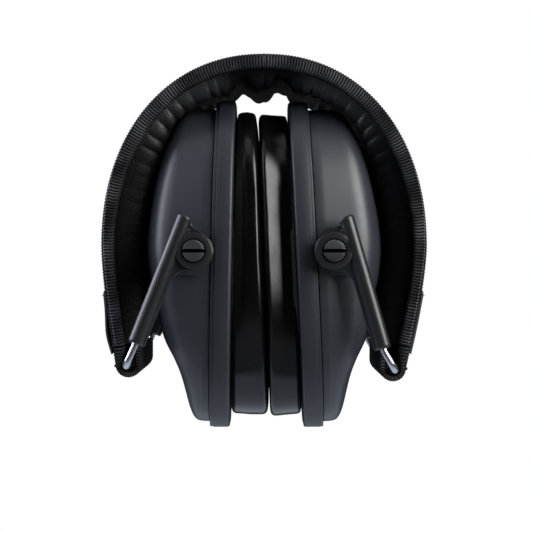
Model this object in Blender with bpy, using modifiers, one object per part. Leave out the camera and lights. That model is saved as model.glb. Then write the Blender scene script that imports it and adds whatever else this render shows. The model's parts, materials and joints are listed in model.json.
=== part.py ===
"""Folding earmuff hearing protector, folded for carrying, as an assembly of separate solids.

The headband stands as an arch over the two cups, whose cushions face each other. The front is -Y,
X runs across the band, and the cups stand on Z = 0. Lengths are in millimetres until MM turns
them into metres. A depth in the band is measured inwards from its outer line, and a cup has its
own frame: p outwards from the swing axis, q upwards from it.
"""

import bisect
import math

import bmesh
import bpy
from mathutils import Matrix, Vector

MM = 0.001
GAP = 0.3  # clearance between neighbouring solids
CUT_PAST = 2.0  # how far a cutter runs on past what it cuts

# Headband outer line: half an arch, then a leg that draws in towards its end.
BAND_HALF_SPAN = 53.2
SHOULDER_Z = 60.0
CROWN_RISE = 63.0
CROWN_POWER = 2.15
LEG_DRAW_POWER = 1.5
LEG_END_Z = 27.0

# Headband layers, across its width and through its thickness.
BAND_HALF_WIDTH = 28.2
BINDING_WIDTH = 2.5
CORE_HALF_WIDTH = BAND_HALF_WIDTH - BINDING_WIDTH - GAP
BINDING_DEPTH = 5.4
COVER_THICKNESS = 1.0
SPRING_DEPTHS = (COVER_THICKNESS + GAP, COVER_THICKNESS + GAP + 0.8)
SPRING_HALF_WIDTH = 15.0
LINING_BACK = 2.8
COVER_DEPTHS = (0.0, COVER_THICKNESS)
FLAP_DEPTHS = (-GAP - 0.5, -GAP)
LINING_BULGE = ((0.0, 8.2), (5.0, 7.4), (9.5, 5.6), (14.0, 5.5), (34.0, 5.4), (48.0, 6.2), (60.0, 7.2))
LINING_SIDE_BULGE = {"left": 8.2, "right": 7.9}
LINING_RELIEF = (
    (0.0, 0.0), (16.0, 0.5), (28.0, 4.3), (37.0, 4.5), (50.0, 3.0), (70.0, 2.2), (104.0, 1.8), (126.0, 0.5),
)
LINING_END_BULGE = 1.6
LINING_EDGE = 0.6  # how far its edges lie under the binding's inner face
SPLIT_X = 20.0  # where the legs bend away from the crown
PANEL_SEAM_Z = 78.0
FLAP_TOP_Z = 45.5
CROWN_SEGMENTS = 10
LEG_SEGMENTS = 18
PANEL_SEGMENTS = 12
FLAP_SEGMENTS = 8

# Band ends: a rolled loop round the hinge sleeve.
HINGE = {"left": (44.2, 21.6), "right": (42.0, 20.3)}
LOOP_RADIUS = 4.3
LOOP_WALL = 1.8
LOOP_TOP_Z = 28.0
LOOP_EDGE = 0.4
SLEEVE_RADIUS = 2.1
SLEEVE_HALF_LENGTH = 25.0
TAB_HALF_WIDTH = 4.0
TAB_OUTLINE = ((0.0, 0.0), (3.0, -1.2), (3.4, -2.2), (2.6, -2.7), (-0.1, -1.5))

# Yoke wire and arms.
WIRE_RADIUS = 1.15
WIRE_BEND = 3.6
WIRE_Y = 39.2
WIRE_LENGTH = 45.0
ARM_LEAN = {"left": math.radians(21.4), "right": math.radians(16.0)}
WIRE_JOG_END = 5.8
WIRE_BEND_STEPS = 6
ARM_START = 6.8
ARM_END = 50.7
ARM_TUBE_RADIUS = 2.6
ARM_PLATE = (37.5, 40.4)
ARM_PLATE_EDGE = 0.5
ARM_EDGE = (  # distance along the arm, and how far its inner edge stands across it
    (7.3, 3.1),
    (28.0, 3.3),
    (30.4, 3.5),
    (32.0, 4.2),
    (33.9, 5.9),
    (34.9, 8.0),
    (36.1, 10.3),
    (38.4, 12.3),
    (41.05, 12.85),
    (43.8, 12.2),
    (46.2, 10.0),
    (47.2, 7.2),
    (48.0, 4.2),
    (49.0, 2.6),
    (50.2, 1.2),
)
BORE_LENGTH = 47.5
EYE_RADIUS = 6.0
EYE_FACE_Y = 41.5
EYE_SEAT_RADIUS = 4.0
EYE_ALONG = 41.05
EYE_ACROSS = 6.45

# Pivot screws.
PIVOT = (22.4, 58.5)
SHANK_RADIUS = 2.0
SHANK_INNER_Y = 31.0
HEAD_RADIUS = 3.65
HEAD_Y = (40.7, 42.4)
SLOT = (7.6, 0.9, 0.8)

# Cups. Heights are above the surface that the cups stand on, before the cup is tilted.
OVAL_POWER = 2.6
CUP_CENTRE_Z = 54.0
RING_INNER_P = -12.0
RING_THICKNESS = 6.6
RING_OVAL = (36.0, 56.0)
RING_OPENING = (20.0, 33.0)
RING_EDGE = 0.7
SHELL_FOOT = (34.6, 53.0)
SHELL_SHOULDER = (31.0, 52.4)
SHELL_WALL = 2.2
STRAIGHT_FOOT = 2.0
SHOULDER_LOOP = 2  # counted from the foot
SHOULDER_DROP = 4.8
SHOULDER_ROUND = 2.0
LINER_ROUND = 0.6
FACE_PROFILE = (  # height, and how far the outer face stands from the ring's inner face
    (0.0, 13.2),
    (5.0, 14.3),
    (12.0, 15.9),
    (20.0, 19.0),
    (29.0, 23.6),
    (40.0, 26.3),
    (52.0, 29.5),
    (62.0, 30.2),
    (77.0, 28.6),
    (90.0, 25.7),
    (108.0, 19.6),
)
BOSS_HALF_HEIGHT = 7.8
BOSS_P = (-4.9, 6.4)
BOSS_Y = (29.0, 36.2)
BOSS_EDGE = 0.8
CUSHION_CENTRE_Z = 55.0
CUSHION_OVAL = (31.5, 51.0)
CUSHION_OPENING = (17.0, 30.0)
CUSHION_FOOT_THICKNESS = {"left": 13.5, "right": 11.4}  # thinner upwards by CUSHION_TAPER a mm
CUSHION_TAPER = {"left": 0.06, "right": 0.0087}
PLATE_OVAL = (29.0, 47.5)
PLATE_OPENING = (18.5, 31.5)
PLATE_THICKNESS = 1.2
LINER_SCALE = 0.8
LINER_ROOM = 1.0
LINER_FACE_P = -4.5
CUP_TILT = {"left": math.radians(1.15), "right": math.radians(2.8)}

SIDES = {"left": -1, "right": 1}
FACES = {"front": -1, "back": 1}

COLOURS = {  # base colour, roughness, metallic
    "cover_fabric": ((0.012, 0.012, 0.013), 0.55, 0.0),
    "binding_tape": ((0.016, 0.016, 0.017), 0.75, 0.0),
    "lining_leather": ((0.008, 0.008, 0.009), 0.35, 0.0),
    "spring_steel": ((0.55, 0.56, 0.58), 0.3, 1.0),
    "sleeve_nylon": ((0.03, 0.03, 0.03), 0.5, 0.0),
    "wire_steel": ((0.75, 0.75, 0.77), 0.18, 1.0),
    "arm_plastic": ((0.018, 0.018, 0.02), 0.42, 0.0),
    "screw_plastic": ((0.05, 0.05, 0.055), 0.4, 0.0),
    "shell_plastic": ((0.035, 0.037, 0.043), 0.38, 0.0),
    "ring_plastic": ((0.05, 0.054, 0.062), 0.55, 0.0),
    "cushion_vinyl": ((0.01, 0.01, 0.011), 0.15, 0.0),
    "plate_plastic": ((0.06, 0.06, 0.06), 0.5, 0.0),
    "foam": ((0.05, 0.05, 0.055), 0.95, 0.0),
}


def clear_scene():
    for obj in list(bpy.data.objects):
        bpy.data.objects.remove(obj, do_unlink=True)


def new_collection(name):
    collection = bpy.data.collections.new(name)
    bpy.context.scene.collection.children.link(collection)
    return collection


def material(name):
    if name in bpy.data.materials:
        return bpy.data.materials[name]
    colour, roughness, metallic = COLOURS[name]
    made = bpy.data.materials.new(name)
    made.use_nodes = True
    shader = made.node_tree.nodes["Principled BSDF"]
    shader.inputs["Base Color"].default_value = (*colour, 1.0)
    shader.inputs["Roughness"].default_value = roughness
    shader.inputs["Metallic"].default_value = metallic
    return made


def empty(name, location, tilt=0.0):
    """The frame of a moving body: it sits on the body's joint axis, which runs along Y."""
    frame = bpy.data.objects.new(name, None)
    parts.objects.link(frame)
    frame.location = Vector(location) * MM
    frame.rotation_euler = (0.0, tilt, 0.0)
    bpy.context.view_layer.update()
    return frame


def finish(obj, finish_name, frame=None, in_frame=False, smooth=None):
    """Gives a piece its material and its body; in_frame says that it was modelled in that body's frame."""
    obj.data.materials.clear()
    obj.data.materials.append(material(finish_name))
    if frame is not None:
        obj.parent = frame
        if not in_frame:
            obj.matrix_parent_inverse = frame.matrix_world.inverted()
    if smooth is not None:
        obj.data.shade_smooth()
        obj.data.set_sharp_from_angle(angle=math.radians(smooth))
    return obj


def mesh_object(name, work, collection=None):
    """An object made from a bmesh, whose coordinates are in millimetres."""
    bmesh.ops.recalc_face_normals(work, faces=work.faces)
    bmesh.ops.scale(work, vec=(MM, MM, MM), verts=work.verts)
    mesh = bpy.data.meshes.new(name)
    work.to_mesh(mesh)
    work.free()
    obj = bpy.data.objects.new(name, mesh)
    (collection or parts).objects.link(obj)
    return obj


def as_mesh(obj):
    """Replaces a curve, or a mesh with modifiers, by the mesh that it evaluates to, welded."""
    graph = bpy.context.evaluated_depsgraph_get()
    mesh = bpy.data.meshes.new_from_object(obj.evaluated_get(graph))
    work = bmesh.new()
    work.from_mesh(mesh)
    bmesh.ops.remove_doubles(work, verts=work.verts, dist=0.001 * MM)
    bmesh.ops.recalc_face_normals(work, faces=work.faces)
    work.to_mesh(mesh)
    work.free()
    name, matrix = obj.name, obj.matrix_world.copy()
    collection = obj.users_collection[0]
    bpy.data.objects.remove(obj, do_unlink=True)
    made = bpy.data.objects.new(name, mesh)
    made.matrix_world = matrix
    collection.objects.link(made)
    bpy.context.view_layer.update()
    return made


def combine(target, other, operation):
    """Cuts other out of target, or joins it on, and leaves one plain mesh."""
    other.hide_render = True
    other.display_type = "WIRE"
    step = target.modifiers.new(operation.lower(), "BOOLEAN")
    step.operation = operation
    step.object = other
    made = as_mesh(target)
    bpy.data.objects.remove(other, do_unlink=True)
    return made


def outline_curve(name, outlines, half_thickness, edge):
    """A flat outline, with any holes, as a 2D curve with thickness and rounded edges."""
    curve = bpy.data.curves.new(name, "CURVE")
    curve.dimensions = "2D"
    curve.fill_mode = "BOTH"
    curve.extrude = (half_thickness - edge) * MM
    curve.bevel_depth = edge * MM
    curve.bevel_resolution = 0
    curve.offset = -edge * MM
    for outline in outlines:
        spline = curve.splines.new("POLY")
        spline.points.add(len(outline) - 1)
        for point, (x, y) in zip(spline.points, outline):
            point.co = (x * MM, y * MM, 0.0, 1.0)
        spline.use_cyclic_u = True
    obj = bpy.data.objects.new(name, curve)
    parts.objects.link(obj)
    return obj


def side_view_plate(name, outline, y_from, y_to, edge=0.0):
    """A plate seen from the front: its outline is in X and Z, and it runs from y_from to y_to."""
    low, high = sorted((y_from, y_to))
    obj = outline_curve(name, [outline], (high - low) / 2, edge)
    obj.rotation_euler = (math.radians(90), 0.0, 0.0)
    obj.location = (0.0, (low + high) / 2 * MM, 0.0)
    bpy.context.view_layer.update()
    return obj


def cylinder(name, radius, start, end, sides=24, collection=None):
    """A cylinder between two points."""
    start, end = Vector(start), Vector(end)
    along = end - start
    work = bmesh.new()
    turn = along.to_track_quat("Z", "Y").to_matrix().to_4x4()
    bmesh.ops.create_cone(
        work,
        cap_ends=True,
        segments=sides,
        radius1=radius,
        radius2=radius,
        depth=along.length,
        matrix=Matrix.Translation((start + end) / 2) @ turn,
    )
    return mesh_object(name, work, collection)


def block(name, low, high, edge=0.0, collection=None):
    """A box between two corners, with its edges rounded by edge."""
    low, high = Vector(low), Vector(high)
    size = high - low
    work = bmesh.new()
    matrix = Matrix.Translation((low + high) / 2) @ Matrix.Diagonal((*size, 1.0))
    bmesh.ops.create_cube(work, size=1.0, matrix=matrix)
    if edge:
        bmesh.ops.bevel(work, geom=work.edges[:], offset=edge, segments=2, profile=0.5, affect="EDGES")
    return mesh_object(name, work, collection)


def smooth_value(keys, at):
    """A smooth line through the keys, each a place and a value."""
    at = min(max(at, keys[0][0]), keys[-1][0])
    last = len(keys) - 1
    index = min(max(i for i in range(last) if keys[i][0] <= at), last - 1)
    (x0, y0), (x1, y1) = keys[index], keys[index + 1]
    slopes = []
    for i in (index, index + 1):
        low, high = keys[max(i - 1, 0)], keys[min(i + 1, last)]
        slopes.append((high[1] - low[1]) / (high[0] - low[0]))
    width = x1 - x0
    t = (at - x0) / width
    return (
        (2 * t**3 - 3 * t**2 + 1) * y0
        + (t**3 - 2 * t**2 + t) * width * slopes[0]
        + (3 * t**2 - 2 * t**3) * y1
        + (t**3 - t**2) * width * slopes[1]
    )


# Headband line


def leg_x(side_name, z):
    """The outer line of a leg, which draws in to meet the outside of its end loop."""
    hinge_x, hinge_z = HINGE[side_name]
    share = (SHOULDER_Z - z) / (SHOULDER_Z - hinge_z)
    return BAND_HALF_SPAN - (BAND_HALF_SPAN - hinge_x - LOOP_RADIUS) * share**LEG_DRAW_POWER


def arch_line(side_name):
    """Half of the band's outer line, from the crown down, as points and the lengths to them."""
    arch_steps, leg_steps = 120, 80
    points = []
    for step in range(arch_steps + 1):
        angle = math.pi / 2 * step / arch_steps
        x = BAND_HALF_SPAN * math.sin(angle) ** (2 / CROWN_POWER)
        z = SHOULDER_Z + CROWN_RISE * max(math.cos(angle), 0.0) ** (2 / CROWN_POWER)
        points.append(Vector((x, z)))
    for step in range(1, leg_steps + 1):
        z = SHOULDER_Z - (SHOULDER_Z - HINGE[side_name][1]) * step / leg_steps
        points.append(Vector((leg_x(side_name, z), z)))
    lengths = [0.0]
    for before, after in zip(points, points[1:]):
        lengths.append(lengths[-1] + (after - before).length)
    return points, lengths


def length_at(side_name, measure):
    """The length along a side's line to the first point where measure(point) turns positive."""
    points, lengths = LINES[side_name]
    for point, length in zip(points, lengths):
        if measure(point) >= 0:
            return length
    return lengths[-1]


def band_point(length, depth):
    """A point at this length from the crown, negative on the left, and this deep inside the outer line."""
    side_name, side = ("left", -1) if length < 0 else ("right", 1)
    points, lengths = LINES[side_name]
    length = abs(length)
    last = len(points) - 1
    index = min(max(bisect.bisect_right(lengths, length) - 1, 0), last - 1)
    share = (length - lengths[index]) / (lengths[index + 1] - lengths[index])
    along = (points[min(index + 2, last)] - points[max(index - 1, 0)]).normalized()
    if length < 1e-6:
        along = Vector((1.0, 0.0))
    point = points[index].lerp(points[index + 1], share) + Vector((along.y, -along.x)) * depth
    return side * point.x, point.y


def lengths_between(start, end, count):
    return [start + (end - start) * step / count for step in range(count + 1)]


def band_strip(name, span, depths, y_range, segments):
    """A layer of the band between two lengths and two depths."""
    stops = lengths_between(*span, segments)
    outline = [band_point(length, depths[0]) for length in stops]
    outline += [band_point(length, depths[1]) for length in reversed(stops)]
    return side_view_plate(name, outline, *y_range)


def lining_bulge(length, across):
    """How far the padded lining stands inwards past the binding, at a share across its half width."""
    side_name = "left" if length < 0 else "right"
    side_bulge = LINING_SIDE_BULGE[side_name]
    end = LINES[side_name][1][-1]
    keys = LINING_BULGE + ((76.0, side_bulge), (120.0, side_bulge - 1.0), (end, LINING_END_BULGE))
    full = smooth_value(keys, abs(length)) * (1 - abs(across) ** 8)
    return full - smooth_value(LINING_RELIEF, abs(length)) * (1 - across**2)


def loft(sections, closed=False):
    """A bmesh skinned over sections with the same number of points, capped at its ends unless closed."""
    work = bmesh.new()
    rows = [[work.verts.new(point) for point in section] for section in sections]
    pairs = list(zip(rows, rows[1:]))
    if closed:
        pairs.append((rows[-1], rows[0]))
    for one, other in pairs:
        for i in range(len(one)):
            j = (i + 1) % len(one)
            work.faces.new((one[i], one[j], other[j], other[i]))
    if not closed:
        work.faces.new(rows[0])
        work.faces.new(reversed(rows[-1]))
    return work


def lining(name, span, segments):
    """The padded lining: flat on the spring side, crowned towards the head."""
    sections = []
    for length in lengths_between(*span, segments):
        section = [(-CORE_HALF_WIDTH, LINING_BACK), (CORE_HALF_WIDTH, LINING_BACK)]
        for across in (1.0, 0.88, 0.6, 0.0, -0.6, -0.88, -1.0):
            bulge = lining_bulge(length, across)
            section.append((CORE_HALF_WIDTH * across, BINDING_DEPTH - LINING_EDGE + bulge))
        points = []
        for y, depth in section:
            x, z = band_point(length, depth)
            points.append((x, y, z))
        sections.append(points)
    return mesh_object(name, loft(sections))


# Cup shapes


def oval(half_sizes, count, centre_z=CUP_CENTRE_Z):
    """A rounded outline in (y, height)."""
    points = []
    for step in range(count):
        angle = 2 * math.pi * step / count
        c, s = math.cos(angle), math.sin(angle)
        points.append(
            (
                half_sizes[0] * math.copysign(abs(c) ** (2 / OVAL_POWER), c),
                centre_z + half_sizes[1] * math.copysign(abs(s) ** (2 / OVAL_POWER), s),
            )
        )
    return points


def face_depth(height, share):
    """How far the outer face stands from the ring's inner face, at a share of the way out to the shoulder."""
    middle = max(0.0, 1 - ((height - CUP_CENTRE_Z) / SHELL_SHOULDER[1]) ** 2)
    return smooth_value(FACE_PROFILE, height) - SHOULDER_DROP * middle * share**2


def dome_loops(foot, foot_depth, scale, inset, count):
    """Loops of a cup's outer surface from its foot to the middle of its face, as (p, y, q)."""
    loops = []
    foot_oval = oval((foot[0] * scale, foot[1] * scale), count)
    top_oval = oval((SHELL_SHOULDER[0] * scale, SHELL_SHOULDER[1] * scale), count)
    for depth in (foot_depth, foot_depth + STRAIGHT_FOOT):
        loops.append([(depth, y, height) for y, height in foot_oval])
    loops.append([(face_depth(height, 1.0) - inset, y, height) for y, height in top_oval])
    for share in (0.8, 0.55, 0.28):
        ring = []
        for y, height in top_oval:
            height = CUP_CENTRE_Z + (height - CUP_CENTRE_Z) * share
            ring.append((face_depth(height, share) - inset, y * share, height))
        loops.append(ring)
    return loops


def in_cup(side, depth, y, height):
    """A cup-frame point from its distance from the ring's inner face and its height."""
    return side * (RING_INNER_P + depth), y, height - PIVOT[1]


def dome(name, side, loops, edge, closed=False):
    """A domed surface over the loops, with a middle point and a rounded shoulder; closed adds a flat foot."""
    work = bmesh.new()
    rows = [[work.verts.new(in_cup(side, *point)) for point in loop] for loop in loops]
    for one, other in zip(rows, rows[1:]):
        for i in range(len(one)):
            j = (i + 1) % len(one)
            work.faces.new((one[i], one[j], other[j], other[i]))
    last = loops[-1]
    inset = face_depth(last[0][2], 0.28) - last[0][0]
    tip = work.verts.new(in_cup(side, face_depth(CUP_CENTRE_Z, 0.0) - inset, 0.0, CUP_CENTRE_Z))
    for i in range(len(rows[-1])):
        work.faces.new((rows[-1][i], rows[-1][(i + 1) % len(rows[-1])], tip))
    shoulder = [edge for edge in work.edges if set(edge.verts) <= set(rows[SHOULDER_LOOP])]
    bmesh.ops.bevel(work, geom=shoulder, offset=edge, segments=2, profile=0.5, affect="EDGES")
    if closed:
        rim = [edge for edge in work.edges if edge.is_boundary]
        bmesh.ops.contextual_create(work, geom=rim)
    return mesh_object(name, work)


def ring_plate(name, side, outer, opening, depths, edge, count):
    """A flat oval ring between two distances from the seal ring's inner face, in the cup frame."""
    outlines = []
    for sizes in (outer, opening):
        outlines.append([(y, height - PIVOT[1]) for y, height in oval(sizes, count)])
    obj = outline_curve(name, outlines, (depths[1] - depths[0]) / 2, edge)
    obj.rotation_euler = (math.radians(90), 0.0, math.radians(90))
    obj.location = (side * (RING_INNER_P + (depths[0] + depths[1]) / 2) * MM, 0.0, 0.0)
    bpy.context.view_layer.update()
    return as_mesh(obj)


def stand_flat(obj, frame):
    """Trims a piece in its cup's frame to the surface that the object stands on."""
    to_local = (frame.matrix_world @ obj.matrix_world).inverted()
    work = bmesh.new()
    work.from_mesh(obj.data)
    bmesh.ops.bisect_plane(
        work,
        geom=work.verts[:] + work.edges[:] + work.faces[:],
        plane_co=to_local @ Vector((0.0, 0.0, 0.0)),
        plane_no=to_local.to_3x3() @ Vector((0.0, 0.0, 1.0)),
        clear_inner=True,
    )
    rim = [edge for edge in work.edges if edge.is_boundary]
    bmesh.ops.contextual_create(work, geom=rim)
    bmesh.ops.recalc_face_normals(work, faces=work.faces)
    work.to_mesh(obj.data)
    work.free()
    return obj


def cushion(name, side_name, side):
    """The ear cushion: a soft ring that starts on its plate and presses on the other cup's cushion."""
    section = (  # share of the way from the opening to the rim, and share of the thickness
        (0.08, 0.0), (0.0, 0.3), (0.03, 0.75), (0.2, 0.97), (0.5, 1.0),
        (0.8, 0.97), (0.97, 0.75), (1.0, 0.3), (0.92, 0.0),
    )
    count = 36
    inner = oval(CUSHION_OPENING, count)
    outer = oval(CUSHION_OVAL, count, CUSHION_CENTRE_Z)
    foot = GAP + PLATE_THICKNESS + GAP
    sections = []
    for (y0, z0), (y1, z1) in zip(inner, outer):
        points = []
        for across, up in section:
            y, height = y0 + (y1 - y0) * across, z0 + (z1 - z0) * across
            free = CUSHION_FOOT_THICKNESS[side_name] - CUSHION_TAPER[side_name] * height
            full = free - GAP * 0.75 - foot
            points.append(in_cup(side, -foot - full * up, y, height))
        sections.append(points)
    return mesh_object(name, loft(sections, closed=True))


# Sub-assemblies


def build_band_layers(prefix, frame, span, segments):
    """The layers that the crown and both legs share: cover, spring strip, lining and two bindings."""
    width = (-SPRING_HALF_WIDTH, SPRING_HALF_WIDTH)
    made = band_strip(prefix + "spring_strip", span, SPRING_DEPTHS, width, segments)
    finish(made, "spring_steel", frame)
    finish(lining(prefix + "lining", span, segments), "lining_leather", frame, smooth=40)
    for face, sign in FACES.items():
        y_range = (sign * (BAND_HALF_WIDTH - BINDING_WIDTH), sign * BAND_HALF_WIDTH)
        made = band_strip(prefix + "binding_" + face, span, (0.0, BINDING_DEPTH), y_range, segments)
        finish(made, "binding_tape", frame)


def build_panel(name, frame, span, depths, segments):
    panel = band_strip(name, span, depths, (-CORE_HALF_WIDTH, CORE_HALF_WIDTH), segments)
    finish(panel, "cover_fabric", frame)


def build_crown():
    span = (-SPLIT + GAP, SPLIT - GAP)
    build_band_layers("crown_", None, span, CROWN_SEGMENTS)
    build_panel("crown_cover", None, span, COVER_DEPTHS, CROWN_SEGMENTS)


def side_outline(side, points):
    return [(side * x, z) for x, z in points]


def build_leg(name, side, frame):
    start = side * (SPLIT + GAP)
    end = side * length_at(name, lambda point: LEG_END_Z - point.y)
    seam = side * length_at(name, lambda point: PANEL_SEAM_Z - point.y)
    flap_top = side * length_at(name, lambda point: FLAP_TOP_Z - point.y)
    prefix = name + "_"
    build_band_layers(prefix, frame, (start, end), LEG_SEGMENTS)
    upper, lower = (start, seam - side * GAP / 2), (seam + side * GAP / 2, end)
    build_panel(prefix + "upper_panel", frame, upper, COVER_DEPTHS, PANEL_SEGMENTS)
    build_panel(prefix + "lower_panel", frame, lower, COVER_DEPTHS, PANEL_SEGMENTS)
    build_panel(prefix + "end_flap", frame, (flap_top, end), FLAP_DEPTHS, FLAP_SEGMENTS)
    build_end_loop(name, side, abs(end) + GAP, frame)
    build_tab(name, side, frame)


def build_end_loop(name, side, top, frame):
    """The rolled band end round its hinge sleeve; top is the length along the band to its seam."""
    prefix = name + "_"
    x0, z0 = HINGE[name]
    arc = [math.radians(angle) for angle in range(0, -181, -20)]
    seam = [band_point(side * top, depth) for depth in (BINDING_DEPTH - 1.0, 0.0)]
    outline = [(side * x, z) for x, z in seam]
    outline += [(x0 + LOOP_RADIUS * math.cos(a), z0 + LOOP_RADIUS * math.sin(a)) for a in arc]
    outline.append((x0 - LOOP_RADIUS, LOOP_TOP_Z))
    outline.append((x0 - LOOP_RADIUS + LOOP_WALL, LOOP_TOP_Z))
    hollow = LOOP_RADIUS - LOOP_WALL
    outline += [(x0 + hollow * math.cos(a), z0 + hollow * math.sin(a)) for a in reversed(arc)]
    y_range = (-BAND_HALF_WIDTH, BAND_HALF_WIDTH)
    made = side_view_plate(prefix + "end_loop", side_outline(side, outline), *y_range, LOOP_EDGE)
    finish(made, "binding_tape", frame)
    ends = [(side * x0, sign * SLEEVE_HALF_LENGTH, z0) for sign in FACES.values()]
    sleeve = cylinder(prefix + "hinge_sleeve", SLEEVE_RADIUS, *ends, sides=20)
    longer = [(side * x0, sign * (SLEEVE_HALF_LENGTH + CUT_PAST), z0) for sign in FACES.values()]
    bore = cylinder("sleeve_bore", WIRE_RADIUS + GAP, *longer, sides=20, collection=cutters)
    finish(combine(sleeve, bore, "DIFFERENCE"), "sleeve_nylon", frame, smooth=40)


def build_tab(name, side, frame):
    """The short tape tab sewn on at the outer side of the band end."""
    x = HINGE[name][0] + LOOP_RADIUS + GAP / 3
    z = HINGE[name][1]
    outline = side_outline(side, [(x + out, z + up) for out, up in TAB_OUTLINE])
    made = side_view_plate(name + "_tab", outline, -TAB_HALF_WIDTH, TAB_HALF_WIDTH)
    finish(made, "binding_tape", frame)


def along_arm(name, along, across, y):
    """A point from its distances along the arm and inwards from its wire socket, set out from the eye."""
    lean_in, rise = math.sin(ARM_LEAN[name]), math.cos(ARM_LEAN[name])
    along, across = along - EYE_ALONG, across - EYE_ACROSS
    x = PIVOT[0] - lean_in * along - rise * across
    z = PIVOT[1] + rise * along - lean_in * across
    return SIDES[name] * x, y, z


def build_wire(name, side, frame):
    """The yoke wire: a leg into each arm, a slight jog, and a base through the hinge sleeve."""
    prefix = name + "_"
    hinge = Vector((side * HINGE[name][0], 0.0, HINGE[name][1]))
    points = []
    for sign in FACES.values():
        y = sign * WIRE_Y
        jog = Vector(along_arm(name, WIRE_JOG_END, 0.0, 0.0))
        away = (jog - hinge).normalized()
        leg = [along_arm(name, along, 0.0, y) for along in (WIRE_LENGTH, WIRE_JOG_END)]
        for step in range(WIRE_BEND_STEPS + 1):
            angle = math.pi / 2 * step / WIRE_BEND_STEPS
            point = hinge + away * WIRE_BEND * (1 - math.sin(angle))
            point.y = y - sign * WIRE_BEND * (1 - math.cos(angle))
            leg.append(point)
        points += leg if sign < 0 else reversed(leg)
    curve = bpy.data.curves.new(prefix + "wire_yoke", "CURVE")
    curve.dimensions = "3D"
    curve.bevel_depth = WIRE_RADIUS * MM
    curve.bevel_resolution = 3
    curve.use_fill_caps = True
    spline = curve.splines.new("POLY")
    spline.points.add(len(points) - 1)
    for target, point in zip(spline.points, points):
        target.co = (*(Vector(point) * MM), 1.0)
    obj = bpy.data.objects.new(prefix + "wire_yoke", curve)
    parts.objects.link(obj)
    finish(obj, "wire_steel", frame)


def arm_outline(name):
    """The arm's plate: a narrow foot, a straight back along the wire socket, and a round eye."""
    back = 0.4 - ARM_TUBE_RADIUS
    foot = ARM_START + 0.5
    outline = [(foot, back), (ARM_END - 2.5, back), (ARM_END - 0.4, -1.2)]
    outline += reversed(ARM_EDGE)
    return [along_arm(name, along, across, 0.0)[::2] for along, across in outline]


def build_arm(name, side, face, sign, frame):
    """An arm: a flat plate with a round wire socket along its back and a raised eye for the screw."""
    plate = [sign * y for y in ARM_PLATE]
    arm = as_mesh(side_view_plate(name + "_arm_" + face, arm_outline(name), *plate, ARM_PLATE_EDGE))
    y = sign * WIRE_Y
    foot, tip = along_arm(name, ARM_START, 0.0, y), along_arm(name, ARM_END - 0.6, 0.0, y)
    arm = combine(arm, cylinder("socket", ARM_TUBE_RADIUS, foot, tip, 16, cutters), "UNION")
    x, z = side * PIVOT[0], PIVOT[1]
    middle, seat, rim = (x, sum(plate) / 2, z), (x, plate[1], z), (x, sign * EYE_FACE_Y, z)
    arm = combine(arm, cylinder("eye_rim", EYE_RADIUS, middle, rim, 32, cutters), "UNION")
    mouth, end = along_arm(name, ARM_START - CUT_PAST, 0.0, y), along_arm(name, BORE_LENGTH, 0.0, y)
    arm = combine(arm, cylinder("bore", WIRE_RADIUS + GAP, mouth, end, 16, cutters), "DIFFERENCE")
    above = (x, sign * (EYE_FACE_Y + CUT_PAST), z)
    arm = combine(arm, cylinder("head_room", EYE_SEAT_RADIUS, seat, above, 32, cutters), "DIFFERENCE")
    below = (x, sign * (ARM_PLATE[0] - CUT_PAST), z)
    arm = combine(arm, cylinder("eye_hole", SHANK_RADIUS + GAP, below, above, 16, cutters), "DIFFERENCE")
    finish(arm, "arm_plastic", frame, smooth=35)


def build_screw(prefix, side, face, sign, frame):
    """A slotted pivot screw: a shank into the cup's boss, and a wide flat head."""
    x, z = side * PIVOT[0], PIVOT[1]
    under, top = (sign * y for y in HEAD_Y)
    screw = cylinder(prefix + "screw_" + face, HEAD_RADIUS, (x, under, z), (x, top, z), sides=32)
    shank_ends = [(x, y, z) for y in (sign * SHANK_INNER_Y, (under + top) / 2)]
    screw = combine(screw, cylinder("shank", SHANK_RADIUS, *shank_ends, 16, cutters), "UNION")
    width, height, depth = SLOT
    y_range = sorted((top - sign * depth, top + sign * CUT_PAST))
    low, high = (x - width / 2, y_range[0], z - height / 2), (x + width / 2, y_range[1], z + height / 2)
    screw = combine(screw, block("slot", low, high, 0.0, cutters), "DIFFERENCE")
    finish(screw, "screw_plastic", frame, smooth=30)


def build_shell(prefix, side, frame):
    """The cup shell: a boxy dome of even wall, with a pivot boss in its front and back walls."""
    loops = dome_loops(SHELL_FOOT, RING_THICKNESS + GAP, 1.0, 0.0, 36)
    shell = dome(prefix + "cup_shell", side, loops, SHOULDER_ROUND)
    wall = shell.modifiers.new("wall", "SOLIDIFY")
    wall.thickness = SHELL_WALL * MM
    wall.offset = -1.0
    wall.use_even_offset = True
    shell = as_mesh(shell)
    for sign in FACES.values():
        p_range = sorted(side * p for p in BOSS_P)
        y_range = sorted(sign * y for y in BOSS_Y)
        low = (p_range[0], y_range[0], -BOSS_HALF_HEIGHT)
        high = (p_range[1], y_range[1], BOSS_HALF_HEIGHT)
        shell = combine(shell, block("boss", low, high, BOSS_EDGE, cutters), "UNION")
        ends = [(0.0, sign * y, 0.0) for y in (BOSS_Y[0] - CUT_PAST, BOSS_Y[1] + CUT_PAST)]
        hole = cylinder("screw_hole", SHANK_RADIUS + GAP, *ends, 16, cutters)
        shell = combine(shell, hole, "DIFFERENCE")
    finish(shell, "shell_plastic", frame, in_frame=True, smooth=35)


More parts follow.
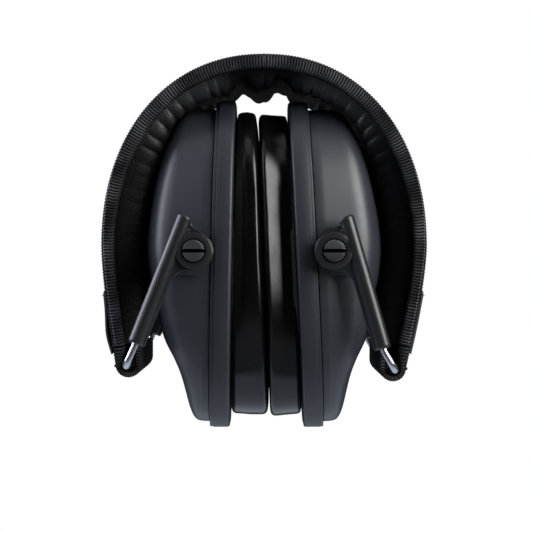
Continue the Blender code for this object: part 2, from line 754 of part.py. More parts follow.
def build_cup(name, side, frame):
    prefix = name + "_"
    build_shell(prefix, side, frame)
    depths = (0.0, RING_THICKNESS)
    ring = ring_plate(prefix + "seal_ring", side, RING_OVAL, RING_OPENING, depths, RING_EDGE, 40)
    finish(stand_flat(ring, frame), "ring_plastic", frame, in_frame=True, smooth=35)
    depths = (-GAP - PLATE_THICKNESS, -GAP)
    plate = ring_plate(prefix + "cushion_plate", side, PLATE_OVAL, PLATE_OPENING, depths, 0.0, 40)
    finish(plate, "plate_plastic", frame, in_frame=True, smooth=35)
    finish(cushion(prefix + "cushion", name, side), "cushion_vinyl", frame, in_frame=True, smooth=60)
    loops = dome_loops(SHELL_FOOT, LINER_FACE_P - RING_INNER_P, LINER_SCALE, SHELL_WALL + LINER_ROOM, 24)
    liner = dome(prefix + "foam_liner", side, loops, LINER_ROUND, closed=True)
    finish(liner, "foam", frame, in_frame=True, smooth=35)


def build_side(name, side):
    """One leg of the band with its fold hinge, arms, screws and cup, each on the frame that it turns on."""
    prefix = name + "_"
    flex = band_point(side * SPLIT, -GAP * 2)
    leg = empty(prefix + "leg_axis", (flex[0], 0.0, flex[1]))
    build_leg(name, side, leg)
    hinge_at = (side * HINGE[name][0], 0.0, HINGE[name][1])
    wire = empty(prefix + "fold_axis", hinge_at)
    build_wire(name, side, wire)
    arms = empty(prefix + "slide_axis", hinge_at)
    for face, sign in FACES.items():
        build_arm(name, side, face, sign, arms)
    pivot_at = (side * PIVOT[0], 0.0, PIVOT[1])
    screws = empty(prefix + "screw_axis", pivot_at)
    for face, sign in FACES.items():
        build_screw(prefix, side, face, sign, screws)
    cup = empty(prefix + "cup_axis", pivot_at, -side * CUP_TILT[name])
    build_cup(name, side, cup)


clear_scene()
parts = new_collection("earmuff_hearing_protector")
cutters = new_collection("cutters")
LINES = {name: arch_line(name) for name in SIDES}
SPLIT = length_at("right", lambda point: point.x - SPLIT_X)
build_crown()
for side_name, side_sign in SIDES.items():
    build_side(side_name, side_sign)
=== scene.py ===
"""The looks of a folding earmuff hearing protector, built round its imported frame.

Lengths are in millimetres until MM turns them into metres. Along the headband a place is s, the
length from the crown, and a depth inwards from the band's outer line. A cup has its own frame:
p outwards from its swing axis, q upwards from it. The front is -Y.
"""

import json
import math
import random

import bmesh
import bpy
import numpy as np
from mathutils import Matrix, Vector, noise


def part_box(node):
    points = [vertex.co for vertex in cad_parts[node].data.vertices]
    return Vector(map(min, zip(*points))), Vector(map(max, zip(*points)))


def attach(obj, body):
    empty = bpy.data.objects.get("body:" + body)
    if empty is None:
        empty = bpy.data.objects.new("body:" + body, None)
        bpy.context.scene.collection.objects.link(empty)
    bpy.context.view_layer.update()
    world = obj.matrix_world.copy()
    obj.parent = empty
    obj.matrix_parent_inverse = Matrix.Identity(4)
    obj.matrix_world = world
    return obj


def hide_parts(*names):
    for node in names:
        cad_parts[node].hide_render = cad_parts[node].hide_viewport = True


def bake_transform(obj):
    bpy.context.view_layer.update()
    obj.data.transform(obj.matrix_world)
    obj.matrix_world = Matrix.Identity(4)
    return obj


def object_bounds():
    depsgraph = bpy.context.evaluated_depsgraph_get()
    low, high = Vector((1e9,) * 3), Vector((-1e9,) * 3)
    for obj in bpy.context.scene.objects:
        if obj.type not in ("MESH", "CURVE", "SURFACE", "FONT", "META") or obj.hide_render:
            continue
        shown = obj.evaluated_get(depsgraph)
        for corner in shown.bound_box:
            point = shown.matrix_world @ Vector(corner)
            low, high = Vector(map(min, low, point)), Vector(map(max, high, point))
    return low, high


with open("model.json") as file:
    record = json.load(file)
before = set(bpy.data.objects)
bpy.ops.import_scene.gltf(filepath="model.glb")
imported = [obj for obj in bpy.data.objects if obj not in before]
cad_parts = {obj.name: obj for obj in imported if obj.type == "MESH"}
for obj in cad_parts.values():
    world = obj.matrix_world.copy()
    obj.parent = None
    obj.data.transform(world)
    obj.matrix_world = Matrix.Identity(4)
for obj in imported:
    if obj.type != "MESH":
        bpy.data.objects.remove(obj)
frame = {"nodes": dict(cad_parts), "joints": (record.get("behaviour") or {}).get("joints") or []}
CAD_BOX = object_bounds()

MM = 0.001
SIDES = {"left": -1, "right": 1}
FACES = {"front": -1, "back": 1}
JOINTS = {joint["name"]: joint for joint in frame["joints"]}


def joint_point(name):
    """Where a joint's axis stands in X and Z, measured outwards from the middle, in millimetres."""
    x, _, z = JOINTS[name]["pos_m"]
    return abs(x) / MM, z / MM


# Headband, read from the frame where the frame has it.
BAND_HALF_SPAN = CAD_BOX[1].x / MM
CROWN_TOP = CAD_BOX[1].z / MM
BAND_HALF_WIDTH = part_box("crown_binding_back")[1].y / MM
BINDING_WIDTH = 2.5
BINDING_DEPTH = 5.4
SHOULDER_Z = 60.0
CROWN_POWER = 2.15
LEG_DRAW_POWER = 1.5
LEG_END_Z = 27.0
PANEL_SEAM_Z = 78.0
FLAP_TOP_Z = 45.5
LINING_BACK = 2.8
CROWN_PAD = {  # the pad hangs in one soft bulge between two drawn-in places, a little to the left
    "left": ((0.0, 7.2), (3.0, 7.2), (5.8, 5.8), (8.5, 3.4), (10.5, 3.8)),
    "right": ((0.0, 7.2), (2.2, 6.2), (5.2, 3.5), (7.4, 3.9), (10.5, 4.9)),
}
LINING_BULGE = ((14.0, 5.4), (34.0, 5.4), (48.0, 6.2), (60.0, 7.2))
LINING_SIDE_BULGE = {"left": 8.2, "right": 7.9}
LINING_RELIEF = (
    (0.0, 0.0), (16.0, 0.5), (28.0, 4.3), (37.0, 4.5), (50.0, 3.0), (70.0, 2.2), (104.0, 1.8), (126.0, 0.5),
)
LINING_ROLL = (  # the pad stands up in a soft roll along each edge
    (0.0, 0.0), (8.5, 0.0), (12.0, 1.2), (20.0, 1.4), (27.0, 2.2), (42.0, 1.5), (54.0, 2.1),
    (112.0, 2.1), (130.0, 0.0),
)
LINING_SHINE = ((0.0, 0.08), (12.0, 0.08), (18.0, 0.85), (38.0, 0.85), (55.0, 0.15), (80.0, 0.0))
LINING_END_BULGE = 1.6
LINING_SEAM_Z = {"left": 68.0, "right": 72.5}
HINGE = {name: joint_point(name + "_fold") for name in SIDES}
LOOP_RADIUS = 4.3
LOOP_WALL = 1.8
LOOP_TOP_Z = 28.0
RIB_PITCH = 1.0
RIB_HEIGHT = 0.38
TAPE_NARROW = (0.1, 0.24)  # how much narrower than the binding the tape lies, at the crown and on a leg
SPLIT_X = 20.0
BEND_REACH = 17.0
COVER_DEPTH = 0.3
COVER_CLOTH = 0.4
COVER_HALF_WIDTH = 24.2
FLAP_HALF_WIDTH = 27.9
TAB_HALF_WIDTH = 3.9
FLAP_SWELL_Z = 31.5
FLAP_SWELL = {"left": 0.9, "right": 0.0}
SPRING_HALF_WIDTH = 15.0
SPRING_DEPTHS = (1.3, 2.1)
PLEAT_PITCH = (4.2, 6.6)
TAPE_SECTION = (  # inwards from the band's edge, depth, and how much of the ribs shows there
    (5.6, 0.45, 0.3), (5.3, 0.12, 1.0), (4.2, 0.0, 1.0), (2.8, 0.0, 1.0), (1.5, 0.0, 1.0), (0.9, 0.05, 0.8),
    (0.45, 0.22, 0.5), (0.15, 0.5, 0.3), (0.02, 0.9, 0.6), (0.0, 1.3, 1.0), (-0.05, 2.0, 1.0),
    (-0.08, 2.8, 1.0), (-0.05, 3.6, 1.0), (0.0, 4.3, 1.0), (0.1, 4.9, 0.8), (0.4, 5.35, 0.4),
    (0.9, 5.6, 0.3), (1.7, 5.7, 1.0), (2.6, 5.7, 0.6), (3.0, 5.5, 0.2), (2.9, 5.0, 0.0),
    (2.4, 4.6, 0.0), (2.4, 1.4, 0.0), (5.5, 0.9, 0.0),
)
LOOP_SECTION = (  # share of the way through, inwards from the band's edge with its side's sign, and ribs
    (0.0, -27.0, 0.0), (0.0, -16.0, 0.0), (0.0, -5.6, 0.3), (0.0, -4.2, 1.0), (0.0, -1.5, 1.0),
    (0.02, -0.5, 0.5),
    (0.12, -0.02, 0.6), (0.3, -0.001, 1.0), (0.6, -0.001, 1.0), (0.88, -0.05, 0.5), (1.0, -0.6, 0.3),
    (1.0, -8.0, 0.0), (1.0, -27.0, 0.0), (1.0, 27.0, 0.0), (1.0, 8.0, 0.0), (1.0, 0.6, 0.3),
    (0.88, 0.05, 0.5), (0.6, 0.001, 1.0), (0.3, 0.001, 1.0), (0.12, 0.02, 0.6), (0.02, 0.5, 0.5),
    (0.0, 1.5, 1.0), (0.0, 4.2, 1.0), (0.0, 5.6, 0.3), (0.0, 16.0, 0.0), (0.0, 27.0, 0.0),
)

# Yoke and arms.
WIRE_RADIUS = 1.15
WIRE_BEND = 3.6
WIRE_Y = 39.2
WIRE_LENGTH = 45.0
WIRE_JOG_END = 5.8
PIVOT = joint_point("left_swing")
ARM_LEAN = {"left": math.radians(21.4), "right": math.radians(16.0)}
ARM_START = 6.8
ARM_END = 50.7
ARM_BACK_Y = 37.5
ARM_WEB_Y = 40.1
EYE_BACK_Y = 38.2
EYE_FACE_Y = 41.5
EYE_SEAT_Y = 40.4
EYE_SEAT_RADIUS = 4.0
EYE_ALONG = 41.05
EYE_ACROSS = 6.45
EYE_RADIUS = 6.4
ARM_RIDGE = (-2.6, 2.4)
ARM_RIDGE_RADIUS = 2.6
ARM_RIDGE_POWER = 2.1
ARM_MIDDLE_Y = 39.0
ARM_EDGE = (  # distance along the arm, and how far its inner edge stands across it
    (6.8, 3.1), (28.0, 3.3), (30.4, 3.5), (32.0, 4.2), (33.9, 5.9), (34.9, 8.0), (36.1, 10.3),
    (38.4, 12.3), (41.05, 12.85), (43.8, 12.2), (46.2, 10.0), (47.2, 7.2), (48.0, 4.2), (49.0, 2.6),
    (50.2, 1.2), (50.7, -0.2),
)
BORE_RADIUS = 1.45
BORE_LENGTH = 47.5
SHANK_HOLE_RADIUS = 2.3

# Pivot screws.
SHANK_RADIUS = 2.0
SHANK_INNER_Y = 31.0
HEAD_RADIUS = 3.6
HEAD_Y = (40.7, 42.4)
SLOT_WIDTH = 1.15
SLOT_DEPTH = 1.7
HEAD_NOTCHES = 22

# Cups.
OVAL_POWER = 2.6
CUP_CENTRE_Z = 54.0
RING_INNER_P = -12.0
RING_THICKNESS = 6.6
RING_OVAL = (36.0, 56.0)
RING_OPENING = (20.0, 33.0)
SHELL_FOOT = (34.6, 53.0)
SHELL_SHOULDER = (31.0, 52.4)
SHELL_WALL = 2.2
SHELL_CORNER = 5.6
SHELL_FACE_REACH = 26.0
RING_OUTER = (  # inwards from the outline, and distance from the ring's inner face
    (1.9, 0.0), (1.1, 0.03), (0.6, 0.14), (0.25, 0.36), (0.06, 0.66), (0.0, 1.1), (0.0, 2.6),
    (0.0, 5.15), (0.06, 5.32), (0.2, 5.4),
    (0.45, 5.42), (0.5, 5.6), (0.52, 6.1), (0.62, 6.4), (0.95, 6.56), (1.4, 6.6), (3.0, 6.6), (8.0, 6.6),
)
RING_INNER = (  # outwards from the opening, and distance from the ring's inner face
    (0.8, 6.6), (0.2, 6.45), (0.0, 6.0), (0.0, 0.6), (0.2, 0.15), (0.8, 0.0), (6.0, 0.0),
)
CUSHION_POWER = (9.0, 7.5)  # how square its section is, towards the cup and towards the other cushion
SHOULDER_DROP = 4.8
FACE_PROFILE = (
    (0.0, 13.2), (5.0, 14.3), (12.0, 15.9), (20.0, 19.0), (29.0, 23.6), (40.0, 26.3),
    (52.0, 29.5), (62.0, 30.2), (77.0, 28.6), (90.0, 25.7), (108.0, 19.6),
)
BOSS_HALF_HEIGHT = 7.8
BOSS_P = (-4.9, 6.4)
BOSS_Y = (29.0, 35.3)
BOSS_LEAN = 0.13  # its face follows the lean of the wall
BOSS_LEANS_FROM_Y = 33.0
CUSHION_CENTRE_Z = 55.0
CUSHION_OVAL = (31.5, 51.5)
CUSHION_OPENING = (17.0, 30.0)
CUSHION_FOOT = {"left": 13.5, "right": 11.4}
CUSHION_TAPER = {"left": 0.06, "right": 0.0087}
CUSHION_WEDGE = {  # share of the way from the cup to the other cushion, and how far the wall sinks there
    "left": (
        (0.0, 1.7), (0.2, 1.5), (0.3, 1.0), (0.38, 0.35), (0.5, 0.08), (0.7, 0.0), (0.86, 0.15),
        (0.93, 0.5), (1.0, 1.1),
    ),
    "right": ((0.0, 2.2), (0.12, 2.5), (0.3, 2.5), (0.5, 1.8), (0.74, 0.5), (0.87, 0.0), (1.0, 0.9)),
}
CUSHION_VEER = {"left": 0.22, "right": 0.0}  # how far the fold leaves its line near the top
CUSHION_TOP_FADE = 0.7
CUSHION_BACK = 1.8
CUSHION_LIP = 0.35
CONTACT_BOW = 0.75
LINER_FACE = 7.5
LINER_SCALE = 0.8
CUP_TILT = {"left": math.radians(1.15), "right": math.radians(2.8)}

# Studio: places and lengths in metres.
CAMERA_PLACE = (0.0008, -0.56, 0.0535)
CAMERA_LENS = 110.4
ROOM_LIGHT = (0.02, 0.06)
SOFTBOXES = (  # name, azimuth, distance, middle height, width and height, radiance, colour
    ("left_softbox", -92.0, 0.8, 0.38, (0.8, 0.8), 6.8, (0.84, 0.86, 1.0)),
    ("right_softbox", 56.0, 0.65, 0.32, (0.5, 0.56), 9.5, (1.0, 1.0, 1.0)),
    ("top_softbox", 0.0, 0.25, 1.0, (0.8, 0.8), 0.8, (1.0, 1.0, 1.0)),
    ("front_strip", -46.0, 0.7, 0.36, (0.14, 0.6), 2.8, (0.82, 0.87, 1.0)),
)
LAMP_TARGET = (0.0, 0.0, 0.06)
BOUNCE_CARDS = (  # middle in X and Y, size, radiance, colour
    (0.0, 0.03, (0.6, 0.32), 0.95, (0.76, 0.85, 1.0)),
    (0.0, -0.4, (0.6, 0.5), 0.25, (0.93, 0.95, 1.0)),
)
CARD_HEIGHT = -0.12  # below the cups in every pose


# Numbers


def smooth_value(keys, at):
    """A smooth line through the keys, each a place and a value, at one or many places."""
    places, values = (np.array(column, float) for column in zip(*keys))
    slopes = np.empty_like(values)
    slopes[1:-1] = (values[2:] - values[:-2]) / (places[2:] - places[:-2])
    slopes[0] = (values[1] - values[0]) / (places[1] - places[0])
    slopes[-1] = (values[-1] - values[-2]) / (places[-1] - places[-2])
    at = np.clip(at, places[0], places[-1])
    index = np.clip(np.searchsorted(places, at, side="right") - 1, 0, len(places) - 2)
    width = places[index + 1] - places[index]
    t = (at - places[index]) / width
    return (
        (2 * t**3 - 3 * t**2 + 1) * values[index]
        + (t**3 - 2 * t**2 + t) * width * slopes[index]
        + (3 * t**2 - 2 * t**3) * values[index + 1]
        + (t**3 - t**2) * width * slopes[index + 1]
    )


def smooth_step(low, high, at):
    t = np.clip((at - low) / (high - low), 0.0, 1.0)
    return t * t * (3 - 2 * t)


def noise_field(points, scale, seed=0.0):
    """Smooth noise, about -1 to 1, at an array of points in millimetres; scale is the size of a bump."""
    flat = points.reshape(-1, 3) / scale + seed
    values = [noise.noise(point) for point in flat.tolist()]
    return np.array(values).reshape(points.shape[:-1])


# Mesh making


def link(name, data):
    obj = bpy.data.objects.new(name, data)
    bpy.context.scene.collection.objects.link(obj)
    return obj


def mesh_object(name, points, faces, fields=None, crease=None):
    """An object from points in millimetres; fields are vertex attributes for its material."""
    mesh = bpy.data.meshes.new(name)
    mesh.from_pydata((np.asarray(points) * MM).tolist(), [], faces)
    for field, values in (fields or {}).items():
        vector = values.ndim == 2
        attribute = mesh.attributes.new(field, "FLOAT_VECTOR" if vector else "FLOAT", "POINT")
        attribute.data.foreach_set("vector" if vector else "value", values.astype(np.float32).ravel())
    work = bmesh.new()
    work.from_mesh(mesh)
    bmesh.ops.recalc_face_normals(work, faces=work.faces)
    work.to_mesh(mesh)
    work.free()
    obj = link(name, mesh)
    shade(obj, crease)
    return obj


def shade(obj, crease=None):
    """Smooth shading, with edges sharper than crease degrees kept sharp."""
    obj.data.shade_smooth()
    if crease:
        obj.data.set_sharp_from_angle(angle=math.radians(crease))


def skin(name, rows, fields=None, ring=False, crease=None):
    """A closed surface over sections: rows is (sections, points round a section, 3). A ring meets itself."""
    count, around = rows.shape[:2]
    index = np.arange(count * around).reshape(count, around)
    following = np.roll(index, -1, axis=0) if ring else index[1:]
    first = index if ring else index[:-1]
    quads = np.stack([first, np.roll(first, -1, 1), np.roll(following, -1, 1), following], axis=2)
    faces = quads.reshape(-1, 4).tolist()
    if not ring:
        faces += [index[0].tolist(), index[-1].tolist()[::-1]]
    flat = {
        field: values.reshape(count * around, *values.shape[2:]) for field, values in (fields or {}).items()
    }
    return mesh_object(name, rows.reshape(-1, 3), faces, flat, crease)


def applied(obj):
    """Applies an object's modifiers and returns it."""
    graph = bpy.context.evaluated_depsgraph_get()
    mesh = bpy.data.meshes.new_from_object(obj.evaluated_get(graph))
    obj.modifiers.clear()
    obj.data = mesh
    return obj


def combine(target, tool, operation):
    step = target.modifiers.new("step", "BOOLEAN")
    step.operation = operation
    step.object = tool
    applied(target)
    bpy.data.objects.remove(tool, do_unlink=True)
    return target


def cylinder(radius, start, end, sides=48):
    start, end = Vector(start) * MM, Vector(end) * MM
    along = end - start
    work = bmesh.new()
    turn = along.to_track_quat("Z", "Y").to_matrix().to_4x4()
    place = Matrix.Translation((start + end) / 2) @ turn
    bmesh.ops.create_cone(
        work, cap_ends=True, segments=sides, radius1=radius * MM, radius2=radius * MM,
        depth=along.length, matrix=place,
    )
    mesh = bpy.data.meshes.new("cylinder")
    work.to_mesh(mesh)
    work.free()
    return link("cylinder", mesh)


def box(low, high, edge=0.0):
    low, high = Vector(low) * MM, Vector(high) * MM
    work = bmesh.new()
    size = Matrix.Diagonal((*(high - low), 1.0))
    bmesh.ops.create_cube(work, size=1.0, matrix=Matrix.Translation((low + high) / 2) @ size)
    if edge:
        bmesh.ops.bevel(
            work, geom=work.edges[:], offset=edge * MM, segments=3, profile=0.5, affect="EDGES"
        )
    mesh = bpy.data.meshes.new("box")
    work.to_mesh(mesh)
    work.free()
    return link("box", mesh)


def dashes(name, centres, directions, length, thickness):
    """A row of stitches: a short rounded thread at each centre, lying along its direction."""
    around, along = 8, 7
    angle = np.linspace(0, 2 * math.pi, around, endpoint=False)
    reach = np.linspace(-1, 1, along)
    radius = np.maximum((1 - np.abs(reach) ** 3), 0.05) * thickness / 2
    points, faces = [], []
    for centre, direction in zip(centres, directions):
        forward = Vector(direction).normalized()
        aside = forward.orthogonal().normalized()
        up = forward.cross(aside)
        start = len(points)
        for r, share in zip(radius, reach):
            middle = Vector(centre) + forward * share * length / 2
            points += [tuple(middle + (aside * math.cos(a) + up * math.sin(a)) * r) for a in angle]
        for i in range(along - 1):
            for j in range(around):
                k = (j + 1) % around
                a, b = start + i * around, start + (i + 1) * around
                faces.append((a + j, a + k, b + k, b + j))
        faces.append(tuple(range(start, start + around))[::-1])
        faces.append(tuple(range(start + (along - 1) * around, start + along * around)))
    return mesh_object(name, points, faces)


def tube(name, points, radius, closed=False, resolution=6):
    """A round bar along points in millimetres."""
    curve = bpy.data.curves.new(name, "CURVE")
    curve.dimensions = "3D"
    curve.bevel_depth = radius * MM
    curve.bevel_resolution = resolution
    curve.use_fill_caps = True
    spline = curve.splines.new("POLY")
    spline.points.add(len(points) - 1)
    for target, point in zip(spline.points, points):
        target.co = (*(Vector(point) * MM), 1.0)
    spline.use_cyclic_u = closed
    obj = link(name, curve)
    mesh = bpy.data.meshes.new_from_object(obj.evaluated_get(bpy.context.evaluated_depsgraph_get()))
    bpy.data.objects.remove(obj, do_unlink=True)
    work = bmesh.new()
    work.from_mesh(mesh)
    bmesh.ops.remove_doubles(work, verts=work.verts, dist=0.001 * MM)
    bmesh.ops.recalc_face_normals(work, faces=work.faces)
    work.to_mesh(mesh)
    work.free()
    obj = link(name, mesh)
    shade(obj, 40)
    return obj


# Materials


class Shader:
    """A Principled material and the few node patterns that the finishes are made of."""

    def __init__(self, name, roughness, metallic=0.0, specular=0.5, sheen=0.0):
        self.material = bpy.data.materials.new(name)
        self.material.use_nodes = True
        self.nodes = self.material.node_tree.nodes
        self.links = self.material.node_tree.links
        self.out = self.nodes["Principled BSDF"]
        settings = {
            "Roughness": roughness, "Metallic": metallic, "Specular IOR Level": specular,
            "Sheen Weight": sheen,
        }
        for socket, value in settings.items():
            self.out.inputs[socket].default_value = value

    def put(self, value, socket):
        if isinstance(value, bpy.types.NodeSocket):
            self.links.new(value, socket)
        else:
            socket.default_value = value

    def place(self, stretch=(1.0, 1.0, 1.0), field=None):
        """Texture places in millimetres: of the object, or of a vertex attribute."""
        scale = self.nodes.new("ShaderNodeMapping")
        unit = 1.0 if field else 1.0 / MM
        scale.inputs["Scale"].default_value = [unit * share for share in stretch]
        if field:
            source = self.nodes.new("ShaderNodeAttribute")
            source.attribute_name = field
            self.links.new(source.outputs["Vector"], scale.inputs["Vector"])
        else:
            source = self.nodes.new("ShaderNodeTexCoord")
            self.links.new(source.outputs["Object"], scale.inputs["Vector"])
        return scale.outputs["Vector"]

    def field(self, name):
        source = self.nodes.new("ShaderNodeAttribute")
        source.attribute_name = name
        return source.outputs["Fac"]

    def noise(self, place, size, detail=2.0):
        made = self.nodes.new("ShaderNodeTexNoise")
        made.inputs["Scale"].default_value = 1.0 / size
        made.inputs["Detail"].default_value = detail
        self.links.new(place, made.inputs["Vector"])
        return made.outputs["Fac"]

    def cells(self, place, size):
        made = self.nodes.new("ShaderNodeTexVoronoi")
        made.inputs["Scale"].default_value = 1.0 / size
        self.links.new(place, made.inputs["Vector"])
        return made.outputs["Distance"]

    def waves(self, place, pitch, direction):
        made = self.nodes.new("ShaderNodeTexWave")
        made.bands_direction = direction
        made.inputs["Scale"].default_value = 2 * math.pi / (20 * pitch)
        self.links.new(place, made.inputs["Vector"])
        return made.outputs["Fac"]

    def math(self, operation, first, second):
        made = self.nodes.new("ShaderNodeMath")
        made.operation = operation
        self.put(first, made.inputs[0])
        self.put(second, made.inputs[1])
        return made.outputs["Value"]

    def spread(self, value, low, high, start=0.0, end=1.0):
        """Carries a value from start..end to low..high."""
        made = self.nodes.new("ShaderNodeMapRange")
        for socket, number in zip(("From Min", "From Max", "To Min", "To Max"), (start, end, low, high)):
            made.inputs[socket].default_value = number
        self.links.new(value, made.inputs["Value"])
        return made.outputs["Result"]

    def colour(self, value, low, high):
        made = self.nodes.new("ShaderNodeMix")
        made.data_type = "RGBA"
        self.links.new(value, made.inputs["Factor"])
        made.inputs["A"].default_value = (*low, 1.0)
        made.inputs["B"].default_value = (*high, 1.0)
        self.links.new(made.outputs["Result"], self.out.inputs["Base Color"])

    def roughness(self, value, low, high):
        self.links.new(self.spread(value, low, high), self.out.inputs["Roughness"])

    def bump(self, height, depth):
        """Relief of that depth in millimetres."""
        made = self.nodes.new("ShaderNodeBump")
        made.inputs["Strength"].default_value = 1.0
        made.inputs["Distance"].default_value = depth * MM
        self.links.new(height, made.inputs["Height"])
        self.links.new(made.outputs["Normal"], self.out.inputs["Normal"])
        return self.material


def tape_material():
    """Grosgrain tape: its ribs are in the mesh; here are its threads, painted shade in the grooves and a
    painted highlight on the ridges that varies at random.
    """
    s = Shader("ribbed_tape", 0.6, specular=0.12)
    ridge = s.field("ridge")
    threads = s.noise(s.place(), 0.14, 3.0)
    ridge_light_patches = s.noise(s.place(), 9.0)
    # painted light: the ridge field paints a highlight on each rib's ridge and shade in its grooves, patchy
    # at random
    light = s.math("MULTIPLY", ridge, s.spread(ridge_light_patches, 0.55, 1.0, 0.35, 0.65))
    s.colour(s.math("POWER", light, 3.0), (0.0006, 0.0006, 0.0007), (0.085, 0.085, 0.092))
    s.roughness(threads, 0.5, 0.8)
    return s.bump(threads, 0.05)


def fabric_material(name, dark, light, roughness=0.5):
    """Closely woven nylon: warp and weft from the sheet's own two directions."""
    s = Shader(name, roughness, specular=0.25, sheen=0.06)
    along = s.waves(s.place(field="run"), 0.42, "X")
    across = s.waves(s.place(field="run"), 0.42, "Y")
    weave = s.math("MULTIPLY", along, across)
    cloudy = s.noise(s.place(), 14.0, 3.0)
    s.colour(s.math("MULTIPLY", s.spread(weave, 0.6, 1.0), s.spread(cloudy, 0.4, 1.0, 0.3, 0.7)), dark, light)
    s.roughness(cloudy, roughness - 0.08, roughness + 0.12)
    return s.bump(weave, 0.06)


def leather_material():
    """Soft black synthetic leather with a fine pebbled grain."""
    s = Shader("lining_leather", 0.4)
    shine = s.spread(s.field("shine"), 0.05, 0.6)
    s.links.new(shine, s.out.inputs["Specular IOR Level"])
    grain = s.math("ADD", s.cells(s.place(), 0.55), s.noise(s.place(), 0.25, 3.0))
    s.colour(s.noise(s.place(), 6.0), (0.0015, 0.0015, 0.0017), (0.005, 0.005, 0.0055))
    s.roughness(s.noise(s.place(), 2.5), 0.34, 0.5)
    return s.bump(grain, 0.06)


def vinyl_material():
    """Glossy black vinyl of the ear cushions, with faint slow ripples."""
    s = Shader("cushion_vinyl", 0.12, specular=0.36)
    s.colour(s.noise(s.place(), 8.0), (0.0015, 0.0015, 0.0017), (0.004, 0.004, 0.0045))
    s.roughness(s.noise(s.place(), 4.0), 0.14, 0.24)
    grain = s.math("ADD", s.noise(s.place((1.0, 1.0, 0.35)), 2.6), s.noise(s.place(), 0.16, 2.0))
    return s.bump(grain, 0.012)


def moulded_material(name, dark, light, roughness, grain=0.012, size=0.22):
    """Moulded plastic: a spark-eroded grain, slow colour drift and faint handling marks."""
    s = Shader(name, roughness)
    rubbed = s.noise(s.place(), 11.0, 4.0)
    s.colour(rubbed, dark, light)
    marks = s.noise(s.place((0.25, 1.0, 1.0)), 1.6, 5.0)
    s.roughness(marks, roughness - 0.06, roughness + 0.06)
    return s.bump(s.math("ADD", s.noise(s.place(), size, 2.0), s.cells(s.place(), size * 2)), grain)


def screw_material():
    """The screws' plastic: dull, with painted shade inside the driver slot, darker and less specular there.
    """
    s = Shader("screw_plastic", 0.45)
    # painted shade in the driver slot: the recess field darkens the colour and cuts the specular there
    slot_shade = s.field("recess")
    s.colour(s.math("SUBTRACT", s.noise(s.place(), 6.0), slot_shade), (0.001, 0.001, 0.0012), (0.045, 0.047, 0.054))
    s.links.new(s.spread(slot_shade, 0.5, 0.04), s.out.inputs["Specular IOR Level"])
    s.roughness(s.noise(s.place(), 1.4, 4.0), 0.4, 0.52)
    return s.bump(s.noise(s.place(), 0.3, 2.0), 0.008)


def steel_material(name, tone, roughness):
    """Drawn steel: fine lines along the draw and a few duller patches."""
    s = Shader(name, roughness, metallic=1.0)
    drawn = s.noise(s.place((4.0, 4.0, 0.4)), 0.8, 4.0)
    s.colour(s.noise(s.place(), 5.0), [share * 0.8 for share in tone], tone)
    s.roughness(drawn, roughness - 0.05, roughness + 0.12)
    return s.bump(drawn, 0.008)


def foam_material():
    """Open-cell foam, its colour painted darker in each cell's hollow as shade in the pores."""
    s = Shader("open_cell_foam", 0.95, specular=0.2)
    holes = s.cells(s.place(), 0.9)
    # painted shade: darker towards each cell's middle, where the pores sink
    s.colour(s.spread(holes, 0.0, 1.0, 0.1, 0.6), (0.006, 0.006, 0.007), (0.06, 0.06, 0.065))
    return s.bump(s.math("ADD", holes, s.noise(s.place(), 0.3, 4.0)), 0.5)


def thread_material():
    """Twisted bonded sewing thread."""
    s = Shader("thread", 0.5, sheen=0.3)
    twist = s.noise(s.place((3.0, 3.0, 1.0)), 0.25, 3.0)
    s.colour(twist, (0.03, 0.031, 0.036), (0.2, 0.205, 0.24))
    return s.bump(twist, 0.05)


BLUE_GREY = ((0.003, 0.0031, 0.0037), (0.013, 0.0135, 0.016))
FINISHES = {
    "tape": tape_material(),
    "cover": fabric_material("cover_fabric", *BLUE_GREY),
    "flap": fabric_material("flap_fabric", (0.015, 0.016, 0.019), (0.06, 0.064, 0.076), 0.42),
    "leather": leather_material(),
    "vinyl": vinyl_material(),
    "shell": moulded_material(
        "shell_plastic", (0.018, 0.0195, 0.025), (0.026, 0.028, 0.035), 0.4, 0.005, 0.18
    ),
    "ring": moulded_material("ring_plastic", (0.01, 0.011, 0.015), (0.02, 0.022, 0.029), 0.46, 0.02, 0.3),
    "arm": moulded_material("arm_plastic", (0.008, 0.008, 0.0085), (0.014, 0.014, 0.0155), 0.34, 0.008, 0.25),
    "screw": screw_material(),
    "sleeve": moulded_material("sleeve_nylon", (0.01, 0.01, 0.01), (0.02, 0.02, 0.02), 0.5),
    "plate": moulded_material("plate_plastic", (0.03, 0.03, 0.03), (0.045, 0.045, 0.045), 0.5),
    "wire": steel_material("wire_steel", (0.5, 0.5, 0.53), 0.24),
    "spring": steel_material("spring_steel", (0.5, 0.51, 0.53), 0.3),
    "foam": foam_material(),
    "thread": thread_material(),
}


def dress(obj, finish):
    """Gives an object that finish alone."""
    obj.data.materials.clear()
    obj.data.materials.append(FINISHES[finish])


KEPT_NODES = (  # CAD pieces that are shown as they are, with their finish and the record's slot
    ("hinge_sleeve", "sleeve", "sleeve_nylon"),
    ("cushion_plate", "plate", "plate_plastic"),
)


# Headband


